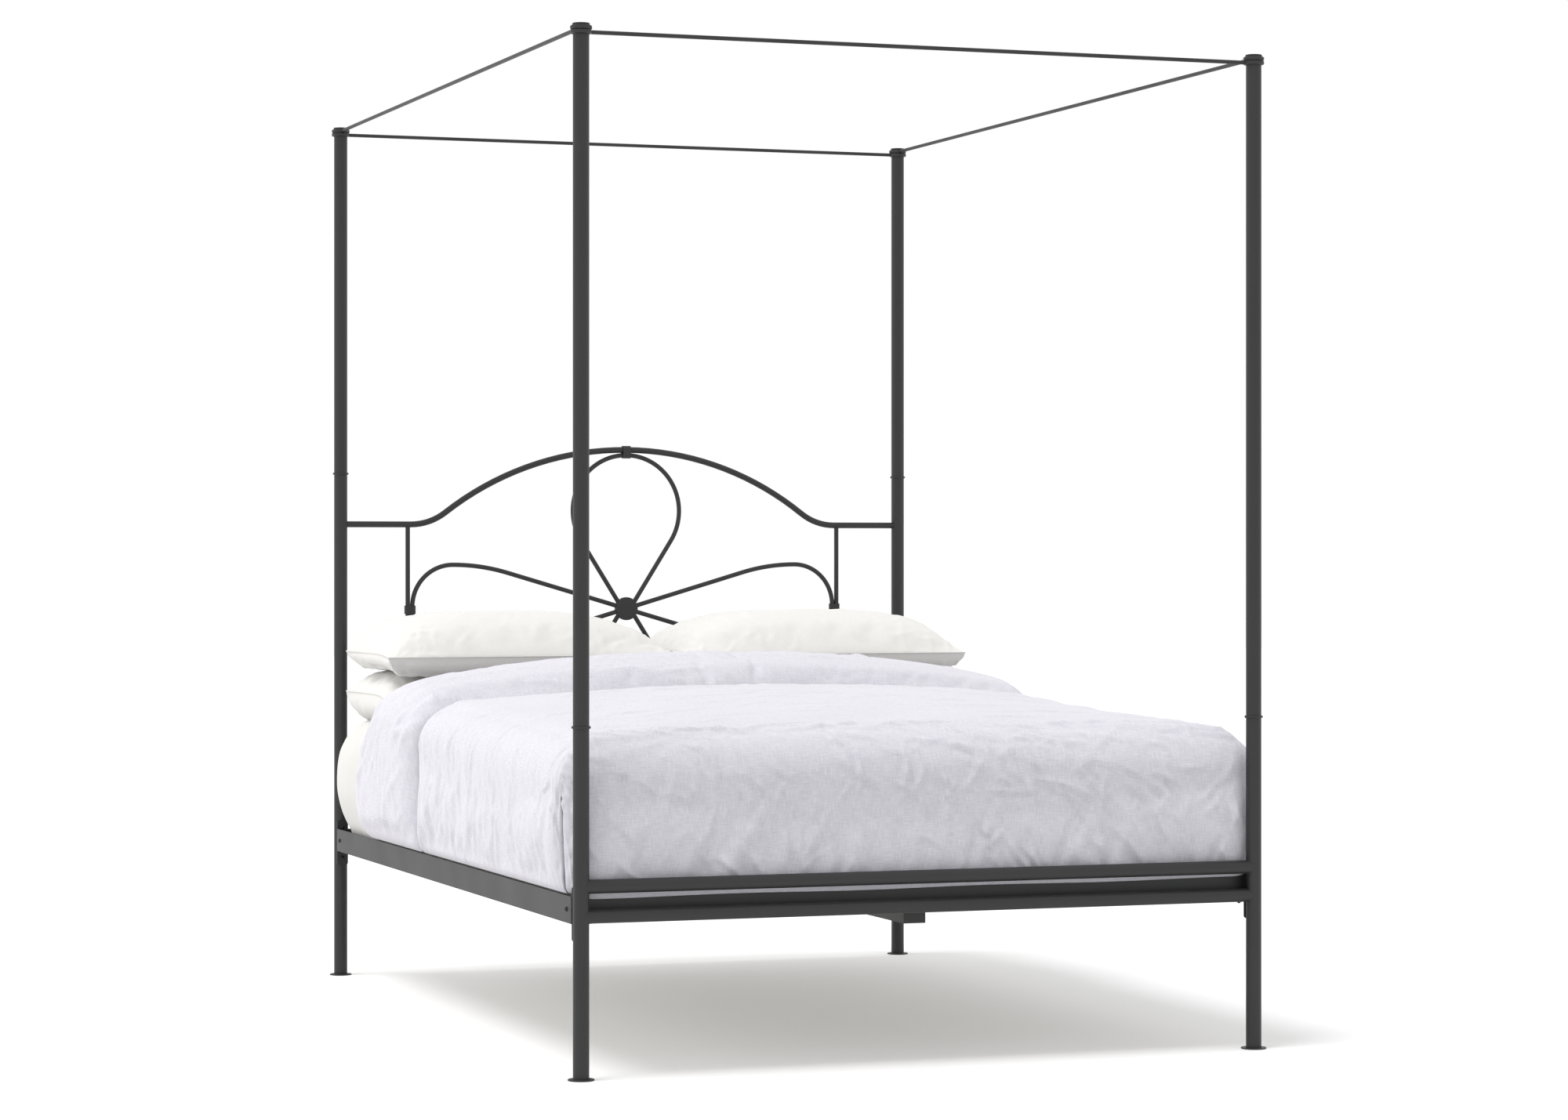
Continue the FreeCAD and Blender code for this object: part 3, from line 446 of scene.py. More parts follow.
ripple = RIPPLE_DEPTH * waves_at(points, RIPPLE_SIZE) * (1.0 - np.abs(outward[:, 2]))
free = np.clip((points[:, 1] - BULGE_FROM) / (BULGE_FULL - BULGE_FROM), 0.0, 1.0)
ease = free ** 2 * (3 - 2 * free)
belly = np.clip((rise - BULGE_BASE_SHARE) / (1 - BULGE_BASE_SHARE), 0.0, 1.0)
belly = np.sin(math.pi * belly) ** BULGE_ROUNDNESS
points[:, 0] += np.sign(points[:, 0]) * np.abs(outward[:, 0]) * HEAD_BULGE * ease * belly
move_to(mattress.data, points + outward * (pucker + ripple)[:, None])
dress(mattress, cotton_percale)
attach(mattress, "mattress")
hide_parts("mattress")

# Duvet: a filled quilt in a washed linen cover, laid over the mattress and let down on three sides.
# Its foot corners are slit so that the drops hang flat. Its head end is folded back as a thick cuff.
# Body and cuff are each sewn from an outer and an inner skin, blown up a little and creased.
LINEN_PALE = "#c6c5c9"
LINEN_SHADE = "#aeacb5"
LINEN_THREAD = 0.0021
GRID = 0.0115

# Outer and inner skin over the sides and the foot, measured from the middle of the bed
SIDE_OUT = 0.7915
SIDE_IN = 0.7805
SIDE_DROP = 0.27
SHOULDER_OUT = 0.085
SHOULDER_IN = 0.055
FOOT_OUT = 1.0300
FOOT_IN = 1.0200
FOOT_DROP = 0.25
FOOT_SHOULDER_OUT = 0.080
FOOT_SHOULDER_IN = 0.050
FOOT_FLARE_OUT = 0.0045
FOOT_FLARE_IN = 0.0098
FOOT_FLARE_FROM = 0.7
FOOT_FLARE_RUN = 0.2

# Hems, and the slit at each foot corner
HEM = 0.3765
HEM_TUCK = 0.007
FOOT_HEM = 0.3685
FOOT_HEM_RISE = 0.002
FOOT_HEM_WAVE = 0.0012
FOOT_HEM_RIPPLE = 0.09
FOOT_HEM_END = 0.045
FOOT_HEM_END_RUN = 0.03
CORNER_ROUND = 0.060
CORNER_FULLNESS = 4
SLIT_TURN = math.radians(28)
SLIT_EDGE = 0.020
SLIT_PARTING = 0.36

# Fold across the bed, the cuff beyond it, and the soft edge that both pieces have
CREASE = 0.160
CREASE_PARTING = 0.0035
CREASE_PUFF = 0.004
CREASE_PUFF_REACH = 0.25
BODY_START = CREASE - CREASE_PARTING
BODY_EDGE = 0.008
CUFF_START = CREASE + CREASE_PARTING
CUFF_EDGE = 0.556
CUFF_EDGE_ROUND = 0.040
CUFF_EDGE_SWEEP = 0.075
CUFF_EDGE_BOW = 0.115
CUFF_BOW_END = 0.04
CUFF_PUFF = 0.014
CUFF_BOW_ROOM = 0.06
CUFF_CLOTH = (2.0, 2.4)
EDGE_SHARE = 0.28
RIM_SHARE = 0.2

# Cloth simulation
CLOTH_QUALITY = 4
CLOTH_MASS = 0.25
CLOTH_STRETCH = 12
CLOTH_SHEAR = 4
CLOTH_AIR = 2
CLOTH_FRAMES = 20
NO_LENGTH = 1e-9

# Creases and slow waves. The third size of a wave belongs to the seed, which picks a wave of its own
CREASE_BEND = 0.25
CREASE_REACH = 4
HOLLOW_SHARE = 0.45
HOLLOW_OFFSET = 2
HOLLOW_WIDTH = 1.6
DROP_OVERLAP = 0.06
TURN_ABOVE = 0.17
TURN_BELOW = 0.05
CLOTH_WAVE = 0.0026
CLOTH_WAVE_SIZE = (0.21, 0.13, 1.0)

# Height of the quilt along its middle, and how far it falls towards its sides, from the foot to the crease
BODY_TOP = (
    (-1.03, 0.690), (-0.96, 0.697), (-0.80, 0.712), (-0.40, 0.733),
    (0.0, 0.750), (0.10, 0.757), (0.17, 0.757),
)
BODY_CROWN = ((-1.03, 0.012), (-0.80, 0.022), (-0.50, 0.034), (0.17, 0.040))
# The same for the folded cuff, from the crease to its head edge
CUFF_TOP = (
    (0.15, 0.752), (0.20, 0.772), (0.26, 0.797), (0.33, 0.815),
    (0.40, 0.824), (0.46, 0.815), (0.51, 0.786), (0.56, 0.735),
)
CUFF_CROWN = ((0.15, 0.042), (0.30, 0.056), (0.40, 0.062), (0.56, 0.055))
# The same for the skin that lies on the mattress, which is level all over
BED_CLEARANCE = 0.002
BED_TOP = ((0.0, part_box("mattress")[1].z + BED_CLEARANCE),)
BED_CROWN = ((0.0, 0.0),)


def along_line(table, at):
    return np.interp(at, [row[0] for row in table], [row[1] for row in table])


def unroll(flat_end, radius, drop):
    """Stations of a cloth that lies flat, turns over a shoulder and hangs, as shares of each stretch."""
    quarter = math.pi * radius / 2
    flats = np.linspace(0.0, 1.0, max(2, round(flat_end / GRID)) + 1)
    turns = np.linspace(0.0, 1.0, max(2, round(quarter / GRID)) + 1)[1:]
    hangs = np.linspace(0.0, 1.0, max(2, round(drop / GRID)) + 1)[1:]
    return flats, turns, hangs


def laid(stations, flat_end, radius):
    """Where those stations lie in one skin: reach, fall over the shoulder and share of the drop."""
    flats, turns, hangs = stations
    angles = turns * math.pi / 2
    full = np.ones(len(hangs))
    reach = np.concatenate([flats * flat_end, flat_end + radius * np.sin(angles), full * (flat_end + radius)])
    fall = np.concatenate([flats * 0.0, radius * (1 - np.cos(angles)), full * radius])
    share = np.concatenate([flats * 0.0, turns * 0.0, hangs])
    return reach, fall, share


def cloth_length(stations, flat_end, radius, drop):
    """How far along the flat cloth those stations are."""
    flats, turns, hangs = stations
    quarter = math.pi * radius / 2
    return np.concatenate([flats * flat_end, flat_end + turns * quarter, flat_end + quarter + hangs * drop])


def both_ways(values, sign):
    """Half a row mirrored to a whole one."""
    return np.concatenate([sign * values[:0:-1], values])


def across_bed(columns, side, shoulder):
    """One row of the quilt from its left hem to its right one: place, fall and share of the drop."""
    reach, fall, share = laid(columns, side - shoulder, shoulder)
    return both_ways(reach, -1)[None, :], both_ways(fall, 1)[None, :], both_ways(share, 1)[None, :]


def round_corner(x, y, side, foot, radius):
    """Rounds the corner between the side and the foot in plan, and brings the slit round to the side."""
    across = np.clip((np.abs(x) - (side - radius)) / radius, 0.0, 1.0)
    along = np.clip((-y - (foot - radius)) / radius, 0.0, 1.0)
    over = across * np.sqrt(1 - along ** 2 / 2)
    down = along * np.sqrt(1 - across ** 2 / 2)
    angle = np.arctan2(down, over)
    angle = np.interp(angle, (0.0, math.pi / 4, math.pi / 2), (0.0, SLIT_TURN, math.pi / 2))
    far = radius * np.hypot(over, down)
    new_x = np.where(across > 0, (side - radius) + far * np.cos(angle), np.abs(x))
    new_y = np.where(along > 0, -(foot - radius) - far * np.sin(angle), y)
    return np.sign(x) * new_x, new_y


def body_skin(columns, rows, side, shoulder, foot, foot_shoulder, flare, puff, top, crown):
    """One skin of the quilt's body, as a grid of points from the crease to its foot hem."""
    x, side_fall, side_share = across_bed(columns, side, shoulder)
    run, foot_fall, foot_share = laid(rows, foot - foot_shoulder + BODY_START, foot_shoulder)
    y = (BODY_START - run)[:, None]
    foot_fall = foot_fall[:, None]
    foot_share = foot_share[:, None]
    corner_fall = (side_fall ** CORNER_FULLNESS + foot_fall ** CORNER_FULLNESS) ** (1 / CORNER_FULLNESS)
    bow = along_line(crown, y) * np.clip(np.abs(x) / (side - shoulder), 0, 1) ** 2
    z = along_line(top, y) - bow - corner_fall
    z = z + (HEM - z) * side_share
    foot_hem = FOOT_HEM + FOOT_HEM_RISE * x / side + FOOT_HEM_WAVE * np.sin(x / FOOT_HEM_RIPPLE)
    hem_end = np.clip((np.abs(x) - side + FOOT_HEM_END) / FOOT_HEM_END_RUN, 0.0, 1.0)
    foot_hem = foot_hem + (HEM - foot_hem) * hem_end
    z = z + (foot_hem - z) * foot_share
    near_crease = np.exp(-((BODY_START - y) / CREASE_PUFF_REACH) ** 2)
    puffed = puff * near_crease * np.sin(math.pi * np.clip(side_share, 0, 1)) ** 0.5
    corner = np.clip((np.abs(x) - side + CORNER_ROUND) / CORNER_ROUND, 0.0, 1.0)
    x = x + np.sign(x) * (puffed - HEM_TUCK * np.maximum(side_share, corner * foot_share) ** 2)
    x, y = round_corner(x, y + 0 * x, side, foot, CORNER_ROUND)
    y = y - flare * np.clip((foot_share - FOOT_FLARE_FROM) / FOOT_FLARE_RUN, 0.0, 1.0)
    return np.stack([x, y, z + 0 * x], axis=-1)


def cuff_skin(columns, steps, side, shoulder, top, crown):
    """One skin of the folded cuff, from the crease to its head edge, which bows out on the hanging sides."""
    x, side_fall, side_share = across_bed(columns, side, shoulder)
    steps = steps[:, None]
    top_y = CUFF_START + (CUFF_EDGE - CUFF_START) * steps
    hang = np.clip(side_share * (1 - 2 * CUFF_BOW_END) + CUFF_BOW_END, 0, 1)
    bowed = CUFF_EDGE_BOW * np.sin(math.pi * hang) * (side_share > 0)
    edge = CUFF_EDGE + CUFF_EDGE_SWEEP * side_fall / shoulder + bowed
    y = CUFF_START + (edge - CUFF_START) * steps
    bow = along_line(crown, top_y) * np.clip(np.abs(x) / (side - shoulder), 0, 1) ** 2
    z = along_line(top, top_y) - bow - side_fall
    z = z + (HEM - z) * side_share
    x = x - np.sign(x) * HEM_TUCK * side_share ** 2 + 0 * y
    return np.stack([x, y + 0 * x, z + 0 * x], axis=-1)


def lay_out(mesh, spread, looseness):
    """Keeps on the mesh where each vertex lies in the flat cloth, and how free it is to move."""
    layer = mesh.uv_layers.new(name="flat")
    corners = np.empty(len(mesh.loops), int)
    mesh.loops.foreach_get("vertex_index", corners)
    layer.data.foreach_set("uv", spread[corners].astype(np.float32).ravel())
    mesh.attributes.new("looseness", "FLOAT", "POINT").data.foreach_set("value", looseness.astype(np.float32))


def looseness_of(mesh):
    values = np.empty(len(mesh.vertices), np.float32)
    mesh.attributes["looseness"].data.foreach_get("value", values)
    return values


def quilt(name, outer, inner, flat, keep, slit, edge_least):
    """A closed quilt between two skins. It thins to a soft edge all round, and stays blunt along a slit."""
    rows, columns = outer.shape[:2]
    used = np.zeros((rows, columns), bool)
    for r, c in ((0, 0), (0, 1), (1, 0), (1, 1)):
        used[r:rows - 1 + r, c:columns - 1 + c] |= keep
    padded = np.pad(keep, 1)
    inside = np.ones((rows, columns), bool)
    for r, c in ((0, 0), (0, 1), (1, 0), (1, 1)):
        inside &= padded[r:rows + r, c:columns + c]
    rim = used & ~inside
    near = np.ones((rows, columns))
    roundness = edge_least + EDGE_SHARE * np.linalg.norm(outer - inner, axis=-1)
    for edge, width in ((rim & ~slit, roundness), (rim & slit, SLIT_EDGE)):
        for spot in flat[edge]:
            away = np.sqrt(((flat - spot) ** 2).sum(-1)) / width
            np.minimum(near, away, out=near)
    swell = RIM_SHARE + (1 - RIM_SHARE) * np.sqrt(np.clip(1 - (1 - near) ** 2, 0, 1))
    outer = inner + (outer - inner) * swell[..., None]
    number = np.full((rows, columns), -1)
    number[used] = np.arange(used.sum())
    count = int(used.sum())
    faces = []
    for r, c in zip(*np.nonzero(keep)):
        a, b, d, e = number[r, c], number[r, c + 1], number[r + 1, c + 1], number[r + 1, c]
        faces.append((a, b, d, e))
        faces.append((e + count, d + count, b + count, a + count))
        for missing, p, q in (
            (not padded[r, c + 1], a, b), (not padded[r + 1, c + 2], b, d),
            (not padded[r + 2, c + 1], d, e), (not padded[r + 1, c], e, a),
        ):
            if missing:
                faces.append((q, p, p + count, q + count))
    points = np.concatenate([outer[used], inner[used]])
    spread = np.concatenate([flat[used], flat[used]])
    mesh = bpy.data.meshes.new(name)
    mesh.from_pydata(points.tolist(), [], [tuple(int(i) for i in face) for face in faces])
    lay_out(mesh, spread, np.concatenate([near[used], np.zeros(count)]))
    work = bmesh.new()
    work.from_mesh(mesh)
    bmesh.ops.recalc_face_normals(work, faces=work.faces)
    work.to_mesh(mesh)
    work.free()
    obj = bpy.data.objects.new(name, mesh)
    bpy.context.scene.collection.objects.link(obj)
    return obj, np.concatenate([np.nonzero(rim[used])[0], np.arange(count, 2 * count)])


def inflate(obj, held, pressure, spare, cap, bending):
    """Blows the cloth up with spare material, so that it swells and wrinkles, but only outwards, to a cap."""
    scene = bpy.context.scene
    start = coordinates_of(obj.data)
    outward = normals_of(obj.data)
    cloth = obj.modifiers.new("cloth", "CLOTH")
    cloth.settings.quality = CLOTH_QUALITY
    cloth.settings.mass = CLOTH_MASS
    cloth.settings.tension_stiffness = CLOTH_STRETCH
    cloth.settings.compression_stiffness = CLOTH_STRETCH
    cloth.settings.shear_stiffness = CLOTH_SHEAR
    cloth.settings.bending_stiffness = bending
    cloth.settings.air_damping = CLOTH_AIR
    cloth.settings.use_pressure = True
    cloth.settings.uniform_pressure_force = pressure
    cloth.settings.shrink_min = -spare
    cloth.settings.effector_weights.gravity = 0
    cloth.collision_settings.use_collision = False
    cloth.point_cache.frame_start = 1
    cloth.point_cache.frame_end = CLOTH_FRAMES
    group = obj.vertex_groups.new(name="held")
    group.add([int(i) for i in held], 1.0, "REPLACE")
    cloth.settings.vertex_group_mass = "held"
    for number in range(1, CLOTH_FRAMES + 1):
        scene.frame_set(number)
    graph = bpy.context.evaluated_depsgraph_get()
    moved = coordinates_of(obj.evaluated_get(graph).data) - start
    inward = np.minimum((moved * outward).sum(1), 0.0)
    moved -= outward * inward[:, None]
    far = np.linalg.norm(moved, axis=1)
    reach = cap * looseness_of(obj.data)
    moved *= np.where(far > reach, reach / np.maximum(far, NO_LENGTH), 1.0)[:, None]
    obj.modifiers.clear()
    scene.frame_set(1)
    move_to(obj.data, start + moved)


def spread_of(mesh):
    """The flat place of each vertex in the cloth, from the map that the weave follows."""
    corners = np.empty(len(mesh.loops), int)
    mesh.loops.foreach_get("vertex_index", corners)
    values = np.empty(len(mesh.loops) * 2, np.float32)
    mesh.uv_layers["flat"].data.foreach_get("uv", values)
    spread = np.zeros((len(mesh.vertices), 2))
    spread[corners] = values.reshape(-1, 2)
    return spread


def creases(spread, seed, count, across, along, slant, length, width, height):
    """Short, slightly bent ridges at chance places. The slant is a mean and a spread in degrees, and each
    other pair is the least and the most."""
    chance = np.random.default_rng(seed)
    lift = np.zeros(len(spread))
    for _ in range(count):
        at = np.array([chance.uniform(*across), chance.uniform(*along)])
        turn = math.radians(chance.normal(*slant))
        half = chance.uniform(*length) / 2
        thin = chance.uniform(*width)
        bend = chance.uniform(-CREASE_BEND, CREASE_BEND) / half
        near = np.nonzero((np.abs(spread - at) < half + CREASE_REACH * thin).all(1))[0]
        du, dv = (spread[near] - at).T
        run = du * math.cos(turn) + dv * math.sin(turn)
        cross = dv * math.cos(turn) - du * math.sin(turn) - bend * run ** 2
        fade = np.clip(1 - (run / half) ** 2, 0, 1)
        hollow = np.exp(-(((cross - HOLLOW_OFFSET * thin) / (HOLLOW_WIDTH * thin)) ** 2))
        fold = np.exp(-np.abs(cross) / thin) - HOLLOW_SHARE * hollow
        lift[near] += chance.uniform(*height) * fade * fold
    return lift


def crumple(obj, groups, wave, seed):
    """Works groups of creases and a slow wave into the cloth, outwards from its skin."""
    mesh = obj.data
    spread = spread_of(mesh)
    outward = normals_of(mesh)
    lift = wave * waves_at(np.column_stack([spread, np.full(len(spread), seed)]), CLOTH_WAVE_SIZE)
    for number, group in enumerate(groups):
        lift += creases(spread, [seed, number], **group)
    lift *= looseness_of(mesh)
    move_to(mesh, coordinates_of(mesh) + outward * lift[:, None])


# Washed linen in a pale lilac grey. The eye gets an uneven, slubby weave that shows both ways,
# soft creases that stay in, and a light bloom where the cloth turns away.
washed_linen = woven("washed_linen", LINEN_PALE, LINEN_SHADE, LINEN_THREAD, 0.75, "UV", 0.25)

side_flat = SIDE_OUT - SHOULDER_OUT
foot_flat = FOOT_OUT - FOOT_SHOULDER_OUT + BODY_START
columns = unroll(side_flat, SHOULDER_OUT, SIDE_DROP)
rows = unroll(foot_flat, FOOT_SHOULDER_OUT, FOOT_DROP)
across_cloth = both_ways(cloth_length(columns, side_flat, SHOULDER_OUT, SIDE_DROP), -1)
along_cloth = cloth_length(rows, foot_flat, FOOT_SHOULDER_OUT, FOOT_DROP)
outer = body_skin(
    columns, rows, SIDE_OUT, SHOULDER_OUT, FOOT_OUT, FOOT_SHOULDER_OUT, FOOT_FLARE_OUT, CREASE_PUFF,
    BODY_TOP, BODY_CROWN,
)
inner = body_skin(
    columns, rows, SIDE_IN, SHOULDER_IN, FOOT_IN, FOOT_SHOULDER_IN, FOOT_FLARE_IN, 0.0, BED_TOP, BED_CROWN
)
flat = np.stack(np.meshgrid(across_cloth, along_cloth), axis=-1)

# The two foot corners are cut out of the cloth, and the edges of each cut part to leave the slit
side_cells = len(columns[2])
foot_cells = len(rows[2])
keep = np.ones((len(along_cloth) - 1, len(across_cloth) - 1), bool)
keep[-foot_cells:, :side_cells] = False
keep[-foot_cells:, -side_cells:] = False
slit = np.zeros(flat.shape[:2], bool)
edge_row = len(along_cloth) - 1 - foot_cells
for corner, step in ((side_cells, 1), (len(across_cloth) - 1 - side_cells, -1)):
    outside = slice(0, corner) if step > 0 else slice(corner + 1, None)
    slit[edge_row:, corner] = True
    slit[edge_row, outside] = True
    for skin in (outer, inner):
        foot_lip = skin[edge_row + 1:, corner]
        foot_lip += (skin[edge_row + 1:, corner + step] - foot_lip) * SLIT_PARTING
        side_lip = skin[edge_row, outside]
        side_lip += (skin[edge_row - 1, outside] - side_lip) * SLIT_PARTING
body, held = quilt("duvet_body", outer, inner, flat, keep, slit, BODY_EDGE)
inflate(body, held, pressure=4.0, spare=0.025, cap=0.014, bending=0.08)
subdivide(body)

foot_edge = along_cloth[edge_row]
foot_hem = along_cloth[-1]
side_edge = across_cloth[-side_cells]
side_hem = across_cloth[-1]
top_span = (-side_edge, side_edge)
left_drop = (-side_hem, -side_edge + DROP_OVERLAP)
right_drop = (side_edge - DROP_OVERLAP, side_hem)
foot_turn = (foot_edge - TURN_ABOVE, foot_edge + TURN_BELOW)
foot_drop = (foot_edge, foot_hem)
crumple(body, (
    dict(
        count=110, across=top_span, along=(0.0, foot_edge), slant=(0, 14),
        length=(0.08, 0.30), width=(0.006, 0.011), height=(0.0015, 0.0035),
    ),
    dict(
        count=120, across=top_span, along=foot_turn, slant=(40, 24),
        length=(0.03, 0.13), width=(0.004, 0.0065), height=(0.003, 0.0065),
    ),
    dict(
        count=80, across=top_span, along=foot_drop, slant=(64, 18),
        length=(0.05, 0.18), width=(0.004, 0.008), height=(0.003, 0.006),
    ),
    dict(
        count=50, across=top_span, along=foot_drop, slant=(116, 14),
        length=(0.05, 0.14), width=(0.004, 0.008), height=(0.002, 0.005),
    ),
    dict(
        count=110, across=left_drop, along=(0.0, foot_edge), slant=(-14, 16),
        length=(0.08, 0.26), width=(0.006, 0.011), height=(0.0015, 0.0038),
    ),
    dict(
        count=110, across=right_drop, along=(0.0, foot_edge), slant=(14, 16),
        length=(0.08, 0.26), width=(0.006, 0.011), height=(0.0015, 0.0038),
    ),
), CLOTH_WAVE, seed=11)

steps = np.linspace(0.0, 1.0, round((CUFF_EDGE + CUFF_BOW_ROOM - CREASE) / GRID) + 1)
outer = cuff_skin(columns, steps, SIDE_OUT + CUFF_PUFF, SHOULDER_OUT, CUFF_TOP, CUFF_CROWN)
inner = cuff_skin(columns, steps, SIDE_IN, SHOULDER_IN, BED_TOP, BED_CROWN)
flat = np.stack(np.meshgrid(across_cloth, steps * (CUFF_EDGE - CREASE) + CUFF_CLOTH[0]), axis=-1)
keep = np.ones((len(steps) - 1, len(across_cloth) - 1), bool)
slit = np.zeros(flat.shape[:2], bool)
cuff, held = quilt("duvet_cuff", outer, inner, flat, keep, slit, CUFF_EDGE_ROUND)
inflate(cuff, held, pressure=4.0, spare=0.025, cap=0.012, bending=0.08)
subdivide(cuff)
crumple(cuff, (
    dict(
        count=90, across=top_span, along=CUFF_CLOTH, slant=(-20, 25),
        length=(0.05, 0.18), width=(0.006, 0.010), height=(0.0015, 0.0035),
    ),
    dict(
        count=50, across=left_drop, along=CUFF_CLOTH, slant=(-25, 18),
        length=(0.06, 0.2), width=(0.006, 0.010), height=(0.0015, 0.0038),
    ),
    dict(
        count=50, across=right_drop, along=CUFF_CLOTH, slant=(25, 18),
        length=(0.06, 0.2), width=(0.006, 0.010), height=(0.0015, 0.0038),
    ),
), CLOTH_WAVE, seed=31)

for piece in (body, cuff):
    dress(piece, washed_linen)
    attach(piece, "duvet")
    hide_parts("duvet")

# Pillows: feather cushions in plain cases, stacked two and two against the headboard.
# Each case is two panels of cotton sateen sewn together all round, so its sides draw in between its corners.
# The outer end and the back are stuffed full, and the front and the inner end slope down to the seam.
CASE_PALE = "#c9c8c5"
CASE_SHADE = "#bcbab5"
CASE_THREAD = 0.0018
PANEL = (0.80, 0.50)
PANEL_GRID = 0.0115
SIDE_DRAW = 0.030
SEAM_SAG = 0.012
SEAM_STIFF = 0.06
SEAM_RADIUS = 0.0013
FRONT_FROM = 0.2
FRONT_BAND = 0.6
END_BAND = 0.7
RIM_FULLNESS = 4
OUTER_FULLNESS = 4
OUTER_SLOPE = 0.5
BACK_FULLNESS = 9
BACK_SLOPE = 0.5
INNER_FULLNESS = 3
INNER_SLOPE = 0.8
FRONT_FULLNESS = 1.6
FRONT_SLOPE = 0.75
UNDER_FULLNESS = 8
UNDER_SLOPE = 0.5
UNDER_BULGE = 0.10
SWELL_ROOM = 0.010
PILLOW_WAVE = 0.003

# Cotton sateen. The eye gets a smooth warm white with a faint bloom and hardly any thread.
cotton_sateen = woven("cotton_sateen", CASE_PALE, CASE_SHADE, CASE_THREAD, 0.25, "UV", 0.3)


def fullness(at, power, slope):
    """How full the filling is between the middle, at 0, and the seam, at 1 or -1."""
    return np.clip(1 - np.abs(at) ** power, 0, 1) ** slope


def filled_pillow(name, low, high, seam_share, front_sag, under_sag):
    """Two panels joined at a seam. The upper one is domed, and the lower one flat with rolled edges."""
    across = round(PANEL[0] / PANEL_GRID)
    along = round(PANEL[1] / PANEL_GRID)
    u = np.sin(np.linspace(-1, 1, across + 1) * math.pi / 2)[None, :] + np.zeros((along + 1, 1))
    v = np.sin(np.linspace(-1, 1, along + 1) * math.pi / 2)[:, None] + np.zeros((1, across + 1))
    inside = (np.abs(u) < 1) & (np.abs(v) < 1)
    middle = (low + high) / 2
    span = high - low
    x = middle.x + span.x / 2 * u * (1 - SIDE_DRAW * (1 - v ** 2))
    y = middle.y + span.y / 2 * v * (1 - SIDE_DRAW * (1 - u ** 2))
    rim = 1 - fullness(u, RIM_FULLNESS, 1) * fullness(v, RIM_FULLNESS, 1)
    front = np.clip((-v - FRONT_FROM) / (1 - FRONT_FROM), 0.0, 1.0) ** 2
    seam = low.z + seam_share * span.z - SEAM_SAG * rim - front_sag * front
    outer_end = fullness(u, OUTER_FULLNESS, OUTER_SLOPE)
    inner_end = fullness(u, INNER_FULLNESS, INNER_SLOPE)
    ends = np.where(u * middle.x > 0, outer_end, inner_end)
    back = fullness(v, BACK_FULLNESS, BACK_SLOPE)
    depth = np.where(v > 0, back, fullness(v, FRONT_FULLNESS, FRONT_SLOPE))
    top = np.stack([x, y, seam + ((1 - seam_share) * span.z - SWELL_ROOM) * ends * depth], axis=-1)
    belly = fullness(u, UNDER_FULLNESS, UNDER_SLOPE) * fullness(v, UNDER_FULLNESS, UNDER_SLOPE)
    under_x = middle.x + (x - middle.x) * (1 + UNDER_BULGE * fullness(u, UNDER_FULLNESS, 1))
    under_y = middle.y + (y - middle.y) * (1 + UNDER_BULGE * fullness(v, UNDER_FULLNESS, 1))
    under = np.stack([under_x, under_y, seam - (seam_share * span.z + under_sag * front) * belly], axis=-1)
    number = np.arange(u.size).reshape(u.shape)
    below = number.copy()
    below[inside] = u.size + np.arange(inside.sum())
    points = np.concatenate([top.reshape(-1, 3), under[inside]])
    spread = np.stack([u * PANEL[0] / 2, v * PANEL[1] / 2], axis=-1)
    spread = np.concatenate([spread.reshape(-1, 2), spread[inside]])
    faces = []
    for r in range(along):
        for c in range(across):
            faces.append([number[r, c], number[r, c + 1], number[r + 1, c + 1], number[r + 1, c]])
            faces.append([below[r + 1, c], below[r + 1, c + 1], below[r, c + 1], below[r, c]])
    mesh = bpy.data.meshes.new(name)
    mesh.from_pydata(points.tolist(), [], [[int(i) for i in face] for face in faces])
    freedom = np.clip(np.minimum(1 - np.abs(u), 1 - np.abs(v)) / SEAM_STIFF, 0.0, 1.0)
    lay_out(mesh, spread, np.concatenate([freedom.ravel(), freedom[inside]]))
    loop = np.concatenate([number[0, :-1], number[:-1, -1], number[-1, :0:-1], number[:0:-1, 0]])
    obj = bpy.data.objects.new(name, mesh)
    bpy.context.scene.collection.objects.link(obj)
    return obj, loop


def add_seam(name, places):
    """The sewn seam, as a thin cord round the pillow through these places."""
    line = bpy.data.curves.new(name, "CURVE")
    line.dimensions = "3D"
    spline = line.splines.new("NURBS")
    spline.points.add(len(places) - 1)
    weighted = np.column_stack([places, np.ones(len(places))])
    spline.points.foreach_set("co", weighted.astype(np.float32).ravel())
    spline.use_cyclic_u = True
    spline.order_u = 3
    line.bevel_depth = SEAM_RADIUS
    line.bevel_resolution = 2
    seam = bpy.data.objects.new(name, line)
    bpy.context.scene.collection.objects.link(seam)
    return seam


